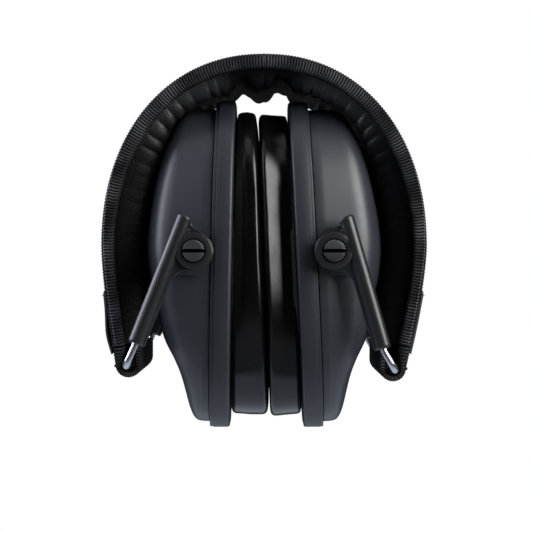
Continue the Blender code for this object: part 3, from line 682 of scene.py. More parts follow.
class BandLine:
    """Half of the headband's outer line, from the crown down one side to its hinge."""

    def __init__(self, name):
        self.name, self.side = name, SIDES[name]
        angle = np.linspace(0, math.pi / 2, 1500)
        arch_x = BAND_HALF_SPAN * np.sin(angle) ** (2 / CROWN_POWER)
        rise = CROWN_TOP - SHOULDER_Z
        arch_z = SHOULDER_Z + rise * np.maximum(np.cos(angle), 0.0) ** (2 / CROWN_POWER)
        hinge_x, hinge_z = HINGE[name]
        leg_z = np.linspace(SHOULDER_Z, hinge_z, 500)[1:]
        share = (SHOULDER_Z - leg_z) / (SHOULDER_Z - hinge_z)
        leg_x = BAND_HALF_SPAN - (BAND_HALF_SPAN - hinge_x - LOOP_RADIUS) * share**LEG_DRAW_POWER
        self.x, self.z = np.concatenate([arch_x, leg_x]), np.concatenate([arch_z, leg_z])
        steps = np.hypot(np.diff(self.x), np.diff(self.z))
        self.length = np.concatenate([[0.0], np.cumsum(steps)])
        along = np.stack([np.gradient(self.x), np.gradient(self.z)])
        along /= np.hypot(*along)
        along[:, 0] = 1.0, 0.0
        self.inward = np.stack([along[1], -along[0]])

    def at_height(self, z):
        """Length from the crown down to a height."""
        return float(np.interp(-z, -self.z, self.length))

    def points(self, s, depth, y):
        """Points at a length from the crown, a depth inside the outer line and a place across the band."""
        s, depth, y = np.broadcast_arrays(s, depth, y)
        x, z = np.interp(s, self.length, self.x), np.interp(s, self.length, self.z)
        out, up = (np.interp(s, self.length, row) for row in self.inward)
        scale = np.hypot(out, up)
        return np.stack([self.side * (x + out / scale * depth), y, z + up / scale * depth], axis=-1)


LINES = {name: BandLine(name) for name in SIDES}
TRIED = np.linspace(0, 40, 400)
SPLIT = float(np.interp(SPLIT_X, LINES["right"].points(TRIED, 0.0, 0.0)[:, 0], TRIED))


def bend_with_leg(obj, name):
    """Bakes an upper band piece's transform into its mesh; the ends of a stretch round the leg's flex joint
    are worked out but not used, so the piece does not bend.
    """
    line = LINES[name]
    start, end = (line.points(SPLIT + reach, 0.0, 0.0) * MM for reach in (-BEND_REACH, BEND_REACH))
    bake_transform(obj)


def rib_relief(s, depth):
    """The tape's ribs, 0 in a groove and 1 on a ridge; each rib is kinked and no two are quite alike."""
    places = np.stack([s, depth * 0.4, np.zeros_like(s)], axis=-1)
    wander = noise_field(places, 2.3, 5.0) * 0.16
    kink = np.abs(depth / BINDING_DEPTH - 0.62) * 0.55
    return np.abs(np.sin(math.pi * ((s + kink) / RIB_PITCH + wander))) ** 0.9


def outward(section):
    """Unit normals of a closed outline of (across, depth) places, pointing out of it."""
    along = np.roll(section, -1, axis=0) - np.roll(section, 1, axis=0)
    normal = np.stack([along[:, 1], -along[:, 0]], axis=1)
    area = np.sum(section[:, 0] * np.roll(section[:, 1], -1) - section[:, 1] * np.roll(section[:, 0], -1))
    return normal / np.hypot(*normal.T)[:, None] * (1 if area > 0 else -1)


def build_tape(name, face, sign):
    """Ribbed binding tape, folded round the band's edge."""
    line = LINES[name]
    end = line.at_height(LEG_END_Z)
    s = np.arange(0.0, end, RIB_PITCH / 6)[:, None]
    section = np.array(TAPE_SECTION)
    across, depth, weight = section.T
    ridge = rib_relief(*np.broadcast_arrays(s, depth[None]))
    push = -(1 - ridge) * RIB_HEIGHT * weight
    normal = outward(section[:, :2])
    soft = noise_field(np.stack([*np.broadcast_arrays(s, depth[None], 0.0 * s)], axis=-1), 9.0, 3.0) * 0.12
    narrow = 1 - TAPE_NARROW[0] - (TAPE_NARROW[1] - TAPE_NARROW[0]) * smooth_step(45.0, 100.0, s)
    depths = depth * narrow + normal[:, 1] * push + soft * (depth > 4.0)
    y = sign * (BAND_HALF_WIDTH - (across + normal[:, 0] * push))
    rows = line.points(s, depths, y)
    # this field drives the tape material's painted highlight on the ridges and painted shade in the grooves;
    # the plain edges get a middle tone
    field = ridge * weight + 0.55 * (1 - weight)
    tape = skin(f"{name}_tape_{face}", rows, {"ridge": field}, crease=70)
    dress(tape, "tape")
    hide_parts(f"{name}_binding_{face}", f"crown_binding_{face}")
    bend_with_leg(tape, name)
    return tape


def cloth(line, s, y, face, under):
    """A sheet between two faces, and the two directions of its weave."""
    width = np.concatenate([y, y[::-1]])
    rows = line.points(s, np.concatenate([face, under[:, ::-1]], axis=1), width)
    return rows, {"run": np.stack([*np.broadcast_arrays(s, width, 0.0 * s)], axis=-1)}


def cover_rows(line, s, outer, thickness, seed):
    """A cloth strip over the band's outside: its outer face sinks under the tape at both edges."""
    s = s[:, None]
    y = COVER_HALF_WIDTH * np.linspace(-1, 1, 45)
    sink = smooth_step(20.6, 23.4, np.abs(y))
    pucker = noise_field(line.points(s, 0.0, y), 6.5, seed)
    tight = np.exp(-(((np.abs(y) - 21.5) / 2.5) ** 2))
    face = outer + sink * (1.15 - outer) + (pucker * 0.05 + 0.05)
    face = face + tight * 0.08 * np.sin(s * 2.1 + pucker * 4)
    return cloth(line, s, y, face, face + thickness)


def build_cover(name):
    """The outer cover's two panels, the lower one under a hemmed, stitched edge of the upper one."""
    line = LINES[name]
    seam, end = line.at_height(PANEL_SEAM_Z), line.at_height(LEG_END_Z)
    s = np.linspace(0.0, seam + 1.0, 150)
    hem = smooth_step(seam - 2.6, seam - 2.2, s)[:, None]
    rows, fields = cover_rows(line, s, COVER_DEPTH - 0.22 * hem, COVER_CLOTH + 0.2 * hem, 1.0)
    upper = skin(name + "_cover_upper", rows, fields, crease=70)
    dress(upper, "cover")
    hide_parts(name + "_upper_panel", "crown_cover")
    bend_with_leg(upper, name)
    s = np.linspace(seam - 2.0, end, 130)
    rows, fields = cover_rows(line, s, COVER_DEPTH + 0.42, COVER_CLOTH, 7.0)
    lower = skin(name + "_cover_lower", rows, fields, crease=70)
    dress(lower, "cover")
    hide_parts(name + "_lower_panel")
    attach(lower, name + "_leg")
    stitch_row(name, "cover_stitches", seam - 1.2, COVER_DEPTH - 0.28, 20.5)


def stitch_row(name, kind, s, depth, half_width, pitch=2.2):
    """A row of stitches across the band."""
    line = LINES[name]
    y = np.arange(-half_width, half_width + 0.01, pitch)
    centres = line.points(np.full_like(y, s), depth, y)
    made = dashes(f"{name}_{kind}", centres, [(0, 1, 0)] * len(y), pitch * 0.72, 0.3)
    dress(made, "thread")
    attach(made, name + "_leg")


def build_flap(name):
    """The smooth end flap, sewn over the tape's outside at the band's end."""
    line = LINES[name]
    start, end = line.at_height(FLAP_TOP_Z), line.at_height(LEG_END_Z) + 2.0
    s = np.linspace(start, end, 110)[:, None]
    across = np.linspace(-1, 1, 57)
    y = FLAP_HALF_WIDTH * across
    middle = line.at_height(FLAP_SWELL_Z)
    swell = FLAP_SWELL[name] * np.exp(-(((s - middle) / 6.0) ** 2))
    soft = noise_field(line.points(s, 0.0, y), 7.0, 11.0)
    edge = 0.3 * smooth_step(0.94, 1.0, np.abs(across)) + 0.3 * (1 - smooth_step(start, start + 1.2, s))
    face = -0.62 - swell + soft * 0.09 + edge
    under = np.maximum(face + 0.5, -0.35 - swell)
    flap = skin(name + "_flap", *cloth(line, s, y, face, under), crease=70)
    dress(flap, "flap")
    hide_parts(name + "_end_flap")
    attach(flap, name + "_leg")
    stitch_row(name, "flap_stitches", start + 1.4, -0.95, 25.5, 2.0)


def build_spring(name):
    """The spring steel strip that lies between the cover and the lining."""
    line = LINES[name]
    s = np.linspace(0.0, line.at_height(LEG_END_Z + 3.0), 160)[:, None]
    half, edge, top, low = SPRING_HALF_WIDTH, 0.2, *SPRING_DEPTHS
    y = np.array([-half, -half, edge - half, half - edge, half, half, half - edge, edge - half])
    depth = np.array([low - edge, top + edge, top, top, top + edge, low - edge, low, low])
    spring = skin(name + "_spring", line.points(s, depth, y), crease=30)
    dress(spring, "spring")
    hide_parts(name + "_spring_strip", "crown_spring_strip")
    bend_with_leg(spring, name)


def pleat_relief(s, y, across, seed):
    """How far the lining's pleats sink: 0 on a fold's crown and 1 in the crease beside it."""
    rng = random.Random(seed)
    creases = [0.0]
    while creases[-1] < 200:
        creases.append(creases[-1] + rng.uniform(*PLEAT_PITCH))
    lean = np.array([rng.uniform(-0.9, 0.9) for _ in creases])
    wander = noise_field(np.stack([s, y, np.full_like(s, seed)], axis=-1), 8.0) * 1.1
    place = s + wander + np.interp(s, creases, lean) * across
    index = np.clip(np.searchsorted(creases, place, side="right") - 1, 0, len(creases) - 2)
    creases = np.array(creases)
    t = (place - creases[index]) / (creases[index + 1] - creases[index])
    return 1 - np.sin(math.pi * np.clip(t, 0, 1)) ** 0.6


def build_lining(name):
    """The pleated synthetic leather lining over its foam pad, with one lapped seam across it."""
    line = LINES[name]
    end, seam = line.at_height(LEG_END_Z), line.at_height(LINING_SEAM_Z[name])
    s = np.arange(0.0, end, 0.4)[:, None]
    across = np.sin(np.linspace(-1, 1, 61) * math.pi / 2 * 0.96) / math.sin(math.pi / 2 * 0.96)
    y = (BAND_HALF_WIDTH - BINDING_WIDTH - 0.3) * across
    s_all, y_all = np.broadcast_arrays(s, y)
    side_bulge = LINING_SIDE_BULGE[name]
    full_end = float(line.length[-1])
    keys = CROWN_PAD[name] + LINING_BULGE
    keys += ((76.0, side_bulge), (120.0, side_bulge - 1.0), (full_end, LINING_END_BULGE))
    bulge = smooth_value(keys, s) * (1 - np.abs(across) ** 16)
    bulge = bulge - smooth_value(LINING_RELIEF, s) * (1 - across**2)
    bulge = bulge + smooth_value(LINING_ROLL, s) * np.exp(-(((np.abs(across) - 0.8) / 0.13) ** 2))
    amount = 0.25 + 1.1 * (1 - smooth_step(48.0, 68.0, s))
    weight = 0.35 + 0.65 * np.abs(across) ** 3
    room = np.clip(bulge / 3.0, 0.12, 1.0)
    pleats = pleat_relief(s_all, y_all, across, 3 + SIDES[name]) * amount * weight * room
    puff = (noise_field(line.points(s, 5.0, y), 5.0, 2.0) - 1) * 0.12
    lap = 0.4 * smooth_step(seam, seam + 0.35, s)
    face = BINDING_DEPTH - 0.6 + bulge - pleats + puff - lap * (1 - np.abs(across) ** 8)
    back = np.linspace(1, -1, 13)
    depth = np.concatenate([face, np.full((len(s), 13), LINING_BACK)], axis=1)
    rows = line.points(s, depth, np.concatenate([y, y[-1] * back]))
    shine = np.broadcast_to(smooth_value(LINING_SHINE, s), depth.shape)
    lining = skin(name + "_pad_lining", rows, {"shine": shine}, crease=75)
    dress(lining, "leather")
    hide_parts(name + "_lining", "crown_lining")
    bend_with_leg(lining, name)


def build_edge_stitches(name, face, sign):
    """The stitches that hold the tape, close inside the band's outer line, down one leg."""
    line = LINES[name]
    start, end = SPLIT + BEND_REACH + 14.0, line.at_height(LEG_END_Z + 1.0)
    s = np.arange(start, end, RIB_PITCH)
    depth = 0.45 + 0.85 * smooth_step(start, end, s)
    centres = line.points(s, depth, sign * (BAND_HALF_WIDTH + 0.02))
    ahead = line.points(s + 0.5, depth, sign * (BAND_HALF_WIDTH + 0.02))
    made = dashes(f"{name}_edge_stitches_{face}", centres, ahead - centres, 0.62, 0.3)
    dress(made, "thread")
    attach(made, name + "_leg")


def build_loop(name):
    """The rolled band end round its hinge sleeve, ribbed at its bound edges like the tape."""
    line, side = LINES[name], SIDES[name]
    x0, z0 = HINGE[name]
    top = line.at_height(LEG_END_Z) + 0.3
    leg_s = np.linspace(top, line.length[-1], 22)[:-1]
    outer, inner = (np.abs(line.points(leg_s, depth, 0.0))[:, ::2] for depth in (0.0, BINDING_DEPTH - 1.0))
    inner_from = inner[0]
    angle = np.radians(np.linspace(0, -180, 70))
    turn = np.stack([np.cos(angle), np.sin(angle)], axis=1)
    hollow = LOOP_RADIUS - LOOP_WALL
    centre = np.array([x0, z0])
    rise = np.linspace(z0, LOOP_TOP_Z, 25)[1:]
    out_end, in_end = (np.stack([0 * rise + x0 - reach, rise], 1) for reach in (LOOP_RADIUS, hollow))
    out_line = np.concatenate([outer, centre + turn * LOOP_RADIUS, out_end])
    leg_inner = inner_from + (centre + turn[0] * hollow - inner_from) * np.linspace(0, 1, 22)[:-1, None]
    in_line = np.concatenate([leg_inner, centre + turn * hollow, in_end])
    steps = np.hypot(*np.diff(out_line, axis=0).T)
    length = np.concatenate([[0.0], np.cumsum(steps)])
    fine = np.arange(0.0, length[-1], RIB_PITCH / 6)
    out_line, in_line = (
        np.stack([np.interp(fine, length, column) for column in edge.T], axis=1)
        for edge in (out_line, in_line)
    )
    contour = np.array(LOOP_SECTION)
    through, across, weight = contour.T
    ridge = rib_relief(*np.broadcast_arrays(fine[:, None], through[None] * BINDING_DEPTH))
    half = BAND_HALF_WIDTH - np.abs(across)
    flat = np.sign(across) * half - np.sign(across) * (1 - ridge) * RIB_HEIGHT * weight
    inset = 0.12 * (1 - ridge) * weight * (through < 0.05)
    share = np.clip(through + inset, 0, 1)
    middle = out_line[:, None] + (in_line - out_line)[:, None] * share[:, :, None]
    rows = np.stack([side * middle[:, :, 0], flat, middle[:, :, 1]], axis=-1)
    # the ridge field drives the tape material's painted highlight on the ridges and painted shade in the
    # grooves
    loop = skin(name + "_band_end", rows, {"ridge": ridge * weight + 0.4 * (1 - weight)}, crease=70)
    dress(loop, "tape")
    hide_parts(name + "_end_loop")
    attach(loop, name + "_leg")


def build_tabs():
    """The left end has a folded tape tab, the right one a short cord loop."""
    x, z = -(HINGE["left"][0] + LOOP_RADIUS), HINGE["left"][1] - 0.3
    reach = np.linspace(0, 1, 16)
    path = np.stack([x - 0.1 - 2.6 * reach, z - 1.4 * reach**1.5], axis=1)
    half = TAB_HALF_WIDTH * np.sqrt(1 - np.clip((reach - 0.7) / 0.34, 0, 1) ** 2)
    turn = np.linspace(0, 2 * math.pi, 28, endpoint=False)
    wide = np.sign(np.cos(turn)) * np.abs(np.cos(turn)) ** 0.4
    thick = np.sin(turn) * 0.5
    rows = np.stack(
        [
            np.broadcast_to(path[:, :1] + 0 * turn, (16, 28)),
            half[:, None] * wide,
            path[:, 1:] + thick * (0.5 + 0.5 * np.sqrt(half / TAB_HALF_WIDTH))[:, None] - 0.5,
        ],
        axis=-1,
    )
    # the tape material's painted ridge highlight and groove shade run across the tab: dark at its front edge,
    # light at its back edge
    ridge = np.broadcast_to(0.5 + 0.5 * np.cos(turn), (16, 28)).copy()
    tab = skin("left_tape_tab", rows, {"ridge": ridge}, crease=60)
    x, z = HINGE["right"][0] + LOOP_RADIUS, HINGE["right"][1] - 0.6
    turn = np.linspace(-math.pi / 2, math.pi / 2, 24)
    path = [(x + 2.3 * math.cos(a), 3.2 * math.sin(a), z - 1.2 * math.cos(a)) for a in turn]
    cord = tube("right_cord_loop", path, 0.55)
    for obj, side_name in ((tab, "left"), (cord, "right")):
        dress(obj, "tape")
        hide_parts(side_name + "_tab")
        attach(obj, side_name + "_leg")


# Yoke, arms and screws


def on_arm(name, along, across, y):
    """Points from their distances along an arm and inwards from its wire socket."""
    lean = ARM_LEAN[name]
    along, across = along - EYE_ALONG, across - EYE_ACROSS
    x = PIVOT[0] - math.sin(lean) * along - math.cos(lean) * across
    z = PIVOT[1] + math.cos(lean) * along - math.sin(lean) * across
    return np.stack([*np.broadcast_arrays(SIDES[name] * x, y, z)], axis=-1)


def build_wire(name):
    """The bright steel yoke: two legs into the arms, a slight jog, and a base through the hinge sleeve."""
    hinge = np.array([SIDES[name] * HINGE[name][0], 0.0, HINGE[name][1]])
    jog = on_arm(name, WIRE_JOG_END, 0.0, 0.0)
    away = (jog - hinge) / np.linalg.norm(jog - hinge)
    front = [on_arm(name, along, 0.0, -WIRE_Y) for along in (WIRE_LENGTH, 20.0, WIRE_JOG_END)]
    for angle in np.linspace(0, math.pi / 2, 20):
        point = hinge + away * WIRE_BEND * (1 - math.sin(angle))
        point[1] = -WIRE_Y + WIRE_BEND * (1 - math.cos(angle))
        front.append(point)
    back = [point * (1, -1, 1) for point in reversed(front)]
    wire = tube(name + "_yoke", front + back, WIRE_RADIUS, resolution=8)
    dress(wire, "wire")
    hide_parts(name + "_wire_yoke")
    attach(wire, name + "_wire")


def turned(profile, sides=96, notches=0, notch_depth=0.0):
    """A solid turned about Y from a profile of (radius, y) that starts and ends on the axis."""
    radius, y = np.array(profile).T
    angle = np.linspace(0, 2 * math.pi, sides, endpoint=False)
    rim = smooth_step(radius.max() - 0.5, radius.max(), radius)[:, None]
    bite = np.clip(np.cos(angle * notches) * 3 - 1.6, 0, 1) * notch_depth if notches else 0 * angle
    reach = np.maximum(radius, 0.01)[:, None] - bite * rim
    along = np.broadcast_to(y[:, None], reach.shape)
    rows = np.stack([reach * np.cos(angle), along, reach * np.sin(angle)], axis=-1)
    return skin("turned", rows, crease=35)


def moved(obj, matrix):
    obj.data.transform(matrix)
    return obj


def mirrored(obj, name, axis):
    """A mirror copy of an object across one of the world's planes."""
    data = obj.data.copy()
    scale = Vector((1, 1, 1))
    scale[axis] = -1
    data.transform(Matrix.Diagonal((*scale, 1)))
    data.flip_normals()
    return link(name, data)


def arm_rows(name):
    """Sections across an arm: a flat web with a rounded wire socket standing along its back."""
    first = [ARM_START + 0.02, ARM_START + 0.15, ARM_START + 0.4]
    last = [ARM_END - 0.8, ARM_END - 0.4, ARM_END - 0.15, ARM_END - 0.02]
    along = np.concatenate([first, np.arange(ARM_START + 0.8, ARM_END - 0.8, 0.3), last])[:, None]
    near_end = np.minimum(along - ARM_START, ARM_END - along)
    full = np.sqrt(1 - (1 - np.clip(near_end / 1.0, 0, 1)) ** 2) * 0.3 + 0.7
    share = np.linspace(0, 1, 72)
    edge = smooth_value(ARM_EDGE, along)
    back = ARM_RIDGE[0]
    across = back + (edge - back) * share
    from_edge = np.minimum(across - back, edge - across)
    lip = np.sqrt(1 - (1 - np.clip(from_edge / 0.6, 0, 1)) ** 2) * 0.6 - 0.6
    web = ARM_WEB_Y + lip
    round_part = np.clip(across / ARM_RIDGE_RADIUS, -1, 1)
    ridge = ARM_RIDGE_RADIUS * (1 - np.abs(round_part) ** ARM_RIDGE_POWER) ** (1 / ARM_RIDGE_POWER)
    on_ridge = np.abs(across) < ARM_RIDGE_RADIUS
    outer = np.maximum(web, np.where(on_ridge, WIRE_Y + ridge, -np.inf))
    inner = np.minimum(ARM_BACK_Y - lip, np.where(on_ridge, WIRE_Y - ridge, np.inf))
    outer, inner = (ARM_MIDDLE_Y + (edge_y - ARM_MIDDLE_Y) * full for edge_y in (outer, inner))
    across = 0.5 + (across - 0.5) * (0.5 + 0.5 * full)
    y = np.concatenate([outer, inner[:, ::-1]], axis=1)
    places = np.concatenate([across, across[:, ::-1]], axis=1)
    return on_arm(name, along, places, -y)


def build_arms(name):
    side = SIDES[name]
    arm = skin(name + "_yoke_arm_front", arm_rows(name), crease=42)
    x, z = side * PIVOT[0], PIVOT[1]
    face, rim = -EYE_FACE_Y, EYE_RADIUS - 0.4
    profile = (
        (0.0, -EYE_BACK_Y), (rim, -EYE_BACK_Y), (rim, face + 0.5), (rim - 0.15, face + 0.15),
        (rim - 0.5, face), (0.0, face),
    )
    eye = moved(turned(profile), Matrix.Translation((x * MM, 0, z * MM)))
    arm = combine(arm, eye, "UNION")
    seat = cylinder(EYE_SEAT_RADIUS, (x, -EYE_SEAT_Y, z), (x, face - 2, z), 96)
    arm = combine(arm, seat, "DIFFERENCE")
    hole = cylinder(SHANK_HOLE_RADIUS, (x, -34, z), (x, -44, z), 64)
    arm = combine(arm, hole, "DIFFERENCE")
    mouth, stop = (tuple(on_arm(name, along, 0.0, -WIRE_Y)) for along in (ARM_START - 3, BORE_LENGTH))
    arm = combine(arm, cylinder(BORE_RADIUS, mouth, stop, 48), "DIFFERENCE")
    shade(arm, 35)
    for obj, face_name in ((arm, "front"), (mirrored(arm, name + "_yoke_arm_back", 1), "back")):
        dress(obj, "arm")
        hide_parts(f"{name}_arm_{face_name}")
        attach(obj, name + "_arms")


def build_screws():
    """Slotted pivot screws with a notched rim, each in its arm's eye and in the cup's boss."""
    under, top = HEAD_Y
    head = HEAD_RADIUS
    profile = (
        (0.0, SHANK_INNER_Y), (1.7, SHANK_INNER_Y), (SHANK_RADIUS, SHANK_INNER_Y + 0.3),
        (SHANK_RADIUS, under), (head - 0.1, under), (head, under + 0.1), (head, top - 0.45),
        (head - 0.12, top - 0.2), (head - 0.4, top - 0.06), (head - 1.2, top), (0.0, top),
    )
    screw = turned([(r, -y) for r, y in profile], 176, HEAD_NOTCHES, 0.3)
    half = SLOT_WIDTH / 2
    slot = box((-head - 1, -top - 1, -half), (head + 1, -top + SLOT_DEPTH, half))
    screw = combine(screw, slot, "DIFFERENCE")
    shade(screw, 35)
    # recess is 1 on the driver slot's faces, where the screw material paints shade
    recess = screw.data.attributes.new("recess", "FLOAT", "CORNER")
    sunk = [
        float(max(abs(screw.data.vertices[at].co.z) for at in face.vertices) < (half + 0.01) * MM)
        for face in screw.data.polygons
        for _ in face.vertices
    ]
    recess.data.foreach_set("value", sunk)
    dress(screw, "screw")
    back = mirrored(screw, "screw_back", 1)
    for name, side in SIDES.items():
        for master, face_name in ((screw, "front"), (back, "back")):
            made = link(f"{name}_pivot_screw_{face_name}", master.data.copy())
            moved(made, Matrix.Translation((side * PIVOT[0] * MM, 0, PIVOT[1] * MM)))
            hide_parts(f"{name}_screw_{face_name}")
            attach(made, name + "_cup")
    for master in (screw, back):
        bpy.data.objects.remove(master, do_unlink=True)


# Cups


def oval(half_sizes, count, centre_z=CUP_CENTRE_Z):
    """A rounded outline as two arrays, y and height."""
    angle = np.linspace(0, 2 * math.pi, count, endpoint=False)
    c, s = np.cos(angle), np.sin(angle)
    y = half_sizes[0] * np.sign(c) * np.abs(c) ** (2 / OVAL_POWER)
    height = centre_z + half_sizes[1] * np.sign(s) * np.abs(s) ** (2 / OVAL_POWER)
    return y, height


def face_depth(height, share):
    """How far a cup's face stands from its ring's inner face, at a share of the way to the shoulder."""
    middle = np.maximum(0.0, 1 - ((height - CUP_CENTRE_Z) / SHELL_SHOULDER[1]) ** 2)
    return smooth_value(FACE_PROFILE, height) - SHOULDER_DROP * middle * share**2


def in_cup(depth, y, height):
    """Points in the right cup's frame, from the distance to the ring's inner face and the height."""
    depth, y, height = np.broadcast_arrays(depth, y, height)
    return np.stack([RING_INNER_P + depth, y, height - PIVOT[1]], axis=-1)


def place_cup(obj, name):
    """Carries a piece from the right cup's frame to the cup of that name, and stands it on the table."""
    side = SIDES[name]
    if side < 0:
        obj.data.transform(Matrix.Diagonal((-1, 1, 1, 1)))
        obj.data.flip_normals()
    lean = Matrix.Rotation(-side * CUP_TILT[name], 4, "Y")
    obj.data.transform(Matrix.Translation((side * PIVOT[0] * MM, 0, PIVOT[1] * MM)) @ lean)
    for vertex in obj.data.vertices:
        vertex.co.z = max(vertex.co.z, 0.0)
    return obj


def dome_rows(foot, foot_depth, scale, inset, corner, count):
    """Loops of a boxy dome: up its wall, round the shoulder and in to the middle of its face."""
    foot_y, foot_h = oval((foot[0] * scale, foot[1] * scale), count)
    top_y, top_h = oval((SHELL_SHOULDER[0] * scale, SHELL_SHOULDER[1] * scale), count)
    base = np.stack([foot_depth + 2.0 + 0 * foot_y, foot_y, foot_h], axis=1)
    peak = np.stack([face_depth(top_h, 1.0) - inset, top_y, top_h], axis=1)

    def face(share):
        height = CUP_CENTRE_Z + (top_h - CUP_CENTRE_Z) * share
        return np.stack([face_depth(height, share) - inset, top_y * share, height], axis=1)

    down = base - peak
    down_length = np.linalg.norm(down, axis=1, keepdims=True)
    start = peak + down / down_length * np.minimum(corner, down_length * 0.7)
    stop_share = 1 - corner / SHELL_FACE_REACH
    stop = face(stop_share)
    rows = [base - (2.0, 0, 0)]
    rows += [base + (start - base) * t for t in np.linspace(0, 1, 8)]
    rows += [start * (1 - t) ** 2 + peak * 2 * t * (1 - t) + stop * t**2 for t in np.linspace(0, 1, 11)[1:]]
    rows += [face(share) for share in np.linspace(stop_share, 0.01, 26)[1:]]
    return np.array(rows)


def build_shell():
    """The right cup's shell: a boxy dome of even wall with a pivot boss in its front and back walls."""
    rows = dome_rows(SHELL_FOOT, RING_THICKNESS + 0.3, 1.0, 0.0, SHELL_CORNER, 144)
    shell = skin("shell", in_cup(*np.moveaxis(rows, -1, 0)))
    work = bmesh.new()
    work.from_mesh(shell.data)
    foot = max((face for face in work.faces if len(face.verts) > 4), key=lambda face: face.calc_area())
    bmesh.ops.delete(work, geom=[foot], context="FACES_ONLY")
    work.to_mesh(shell.data)
    work.free()
    wall = shell.modifiers.new("wall", "SOLIDIFY")
    wall.thickness = SHELL_WALL * MM
    wall.offset = -1.0
    applied(shell)
    for sign in FACES.values():
        low, high = sorted((sign * BOSS_Y[0], sign * BOSS_Y[1]))
        lug = box((BOSS_P[0], low, -BOSS_HALF_HEIGHT), (BOSS_P[1], high, BOSS_HALF_HEIGHT), 0.3)
        for vertex in lug.data.vertices:
            if abs(vertex.co.y) > BOSS_LEANS_FROM_Y * MM:
                vertex.co.y -= sign * BOSS_LEAN * (BOSS_P[1] * MM - vertex.co.x)
        shell = combine(shell, lug, "UNION")
        hole = cylinder(SHANK_HOLE_RADIUS, (0, sign * 26, 0), (0, sign * 40, 0), 64)
        shell = combine(shell, hole, "DIFFERENCE")
    shade(shell, 32)
    return shell


def build_ring():
    """The right cup's seal ring: a stepped outer edge and a wide opening."""
    y, height = oval(RING_OVAL, 220)
    inner_y, inner_h = oval(RING_OPENING, 220)
    sections = []
    for outline_y, outline_h, inwards, contour in (
        (y, height, -1, RING_OUTER),
        (inner_y, inner_h, 1, RING_INNER),
    ):
        along_y, along_h = (np.roll(line, -1) - np.roll(line, 1) for line in (outline_y, outline_h))
        out_y, out_h = along_h, -along_y
        scale = np.hypot(out_y, out_h)
        for inset, depth in contour:
            move = inwards * inset
            sections.append(in_cup(depth, outline_y + out_y / scale * move, outline_h + out_h / scale * move))
    rows = np.stack(sections, axis=1)
    return skin("ring", rows, ring=True, crease=30)


def build_cushion(name):
    """A glossy ear cushion: its outer wall falls in soft lengthwise folds, its opening in short creases."""
    count, around = 300, 64
    opening_y, opening_h = oval(CUSHION_OPENING, count)
    rim_y, rim_h = oval(CUSHION_OVAL, count, CUSHION_CENTRE_Z)
    turn = np.linspace(0, 2 * math.pi, around, endpoint=False)
    square = 2 / np.where(np.sin(turn) < 0, *CUSHION_POWER)
    across = 0.5 + 0.5 * np.sign(np.cos(turn)) * np.abs(np.cos(turn)) ** square
    up = 0.5 + 0.5 * np.sign(np.sin(turn)) * np.abs(np.sin(turn)) ** square
    y = opening_y[:, None] + (rim_y - opening_y)[:, None] * across
    height = opening_h[:, None] + (rim_h - opening_h)[:, None] * across
    free = CUSHION_FOOT[name] - CUSHION_TAPER[name] * height
    back = CUSHION_BACK - (CUSHION_BACK - CUSHION_LIP) * smooth_step(0.86, 0.9, across)
    full = free - 0.225 - back
    angle = np.linspace(0, 2 * math.pi, count, endpoint=False)[:, None]
    round_trip = np.stack([np.cos(angle) * 6.0, np.sin(angle) * 6.0], axis=-1)
    places = np.concatenate(
        [np.broadcast_to(round_trip, (count, around, 2)), (full * up)[..., None]], axis=-1
    )
    folds = noise_field(places * (0.55, 0.55, 1.0), 3.4, 4.0 + SIDES[name])
    fine = noise_field(places * (1.3, 1.3, 1.0), 1.9, 9.0)
    upper = 0.35 + 0.65 * smooth_step(30.0, 75.0, height)
    wall = smooth_step(0.6, 0.98, across)
    wobble = noise_field(places * (0.7, 0.7, 0.0), 4.5, 2.0 + SIDES[name]) * 0.12
    fade = 0.12 + 0.88 * smooth_step(14.0, 40.0, height)
    fade = fade * (1 - CUSHION_TOP_FADE * smooth_step(96.0, 104.0, height))
    veer = wobble + CUSHION_VEER[name] * smooth_step(76.0, 98.0, height)
    wedge = smooth_value(CUSHION_WEDGE[name], up + veer * np.sin(math.pi * up)) * fade
    push = (wedge + np.abs(folds) * 0.5 * upper + np.abs(fine) * 0.2 * upper) * wall
    creases = np.sin(angle * 46 + noise_field(places, 4.0, 6.0) * 5)
    throat = smooth_step(0.3, 0.02, across) * smooth_step(0.15, 0.5, up) * (0.35 + 0.35 * creases)
    shift = -push + np.maximum(throat, 0) * 0.8
    rise = height - CUSHION_CENTRE_Z
    reach = np.hypot(y, rise)
    y, height = y + y / reach * shift, height + rise / reach * shift
    pressed = SIDES[name] * CONTACT_BOW * np.exp(-(((across - 0.6) / 0.16) ** 2)) * smooth_step(0.7, 0.95, up)
    rows = in_cup(-back - full * up + pressed, y, height)
    return skin(name + "_ear_cushion", rows, ring=True)


def build_liner(name):
    """The open-cell foam that lines a cup."""
    dome = dome_rows(SHELL_FOOT, LINER_FACE, LINER_SCALE, SHELL_WALL + 1.0, 3.0, 110)
    foot = dome[0]
    middle = np.array([0.0, 0.0, CUP_CENTRE_Z])
    shares = np.linspace(0.01, 0.97, 22)
    front = [middle * (0, 1, 1) + (foot - middle) * (1, share, share) for share in shares]
    rows = np.concatenate([np.array(front), dome])
    rows = in_cup(*np.moveaxis(rows, -1, 0))
    sunk = np.abs(noise_field(rows, 3.2, 3.0)) * 0.5 + np.abs(noise_field(rows, 14.0, 2.0)) * 0.8
    towards = np.array([4.0, 0.0, CUP_CENTRE_Z - PIVOT[1]]) - rows
    rows = rows + towards / np.linalg.norm(towards, axis=-1, keepdims=True) * sunk[..., None]
    return skin(name + "_cup_foam", rows)


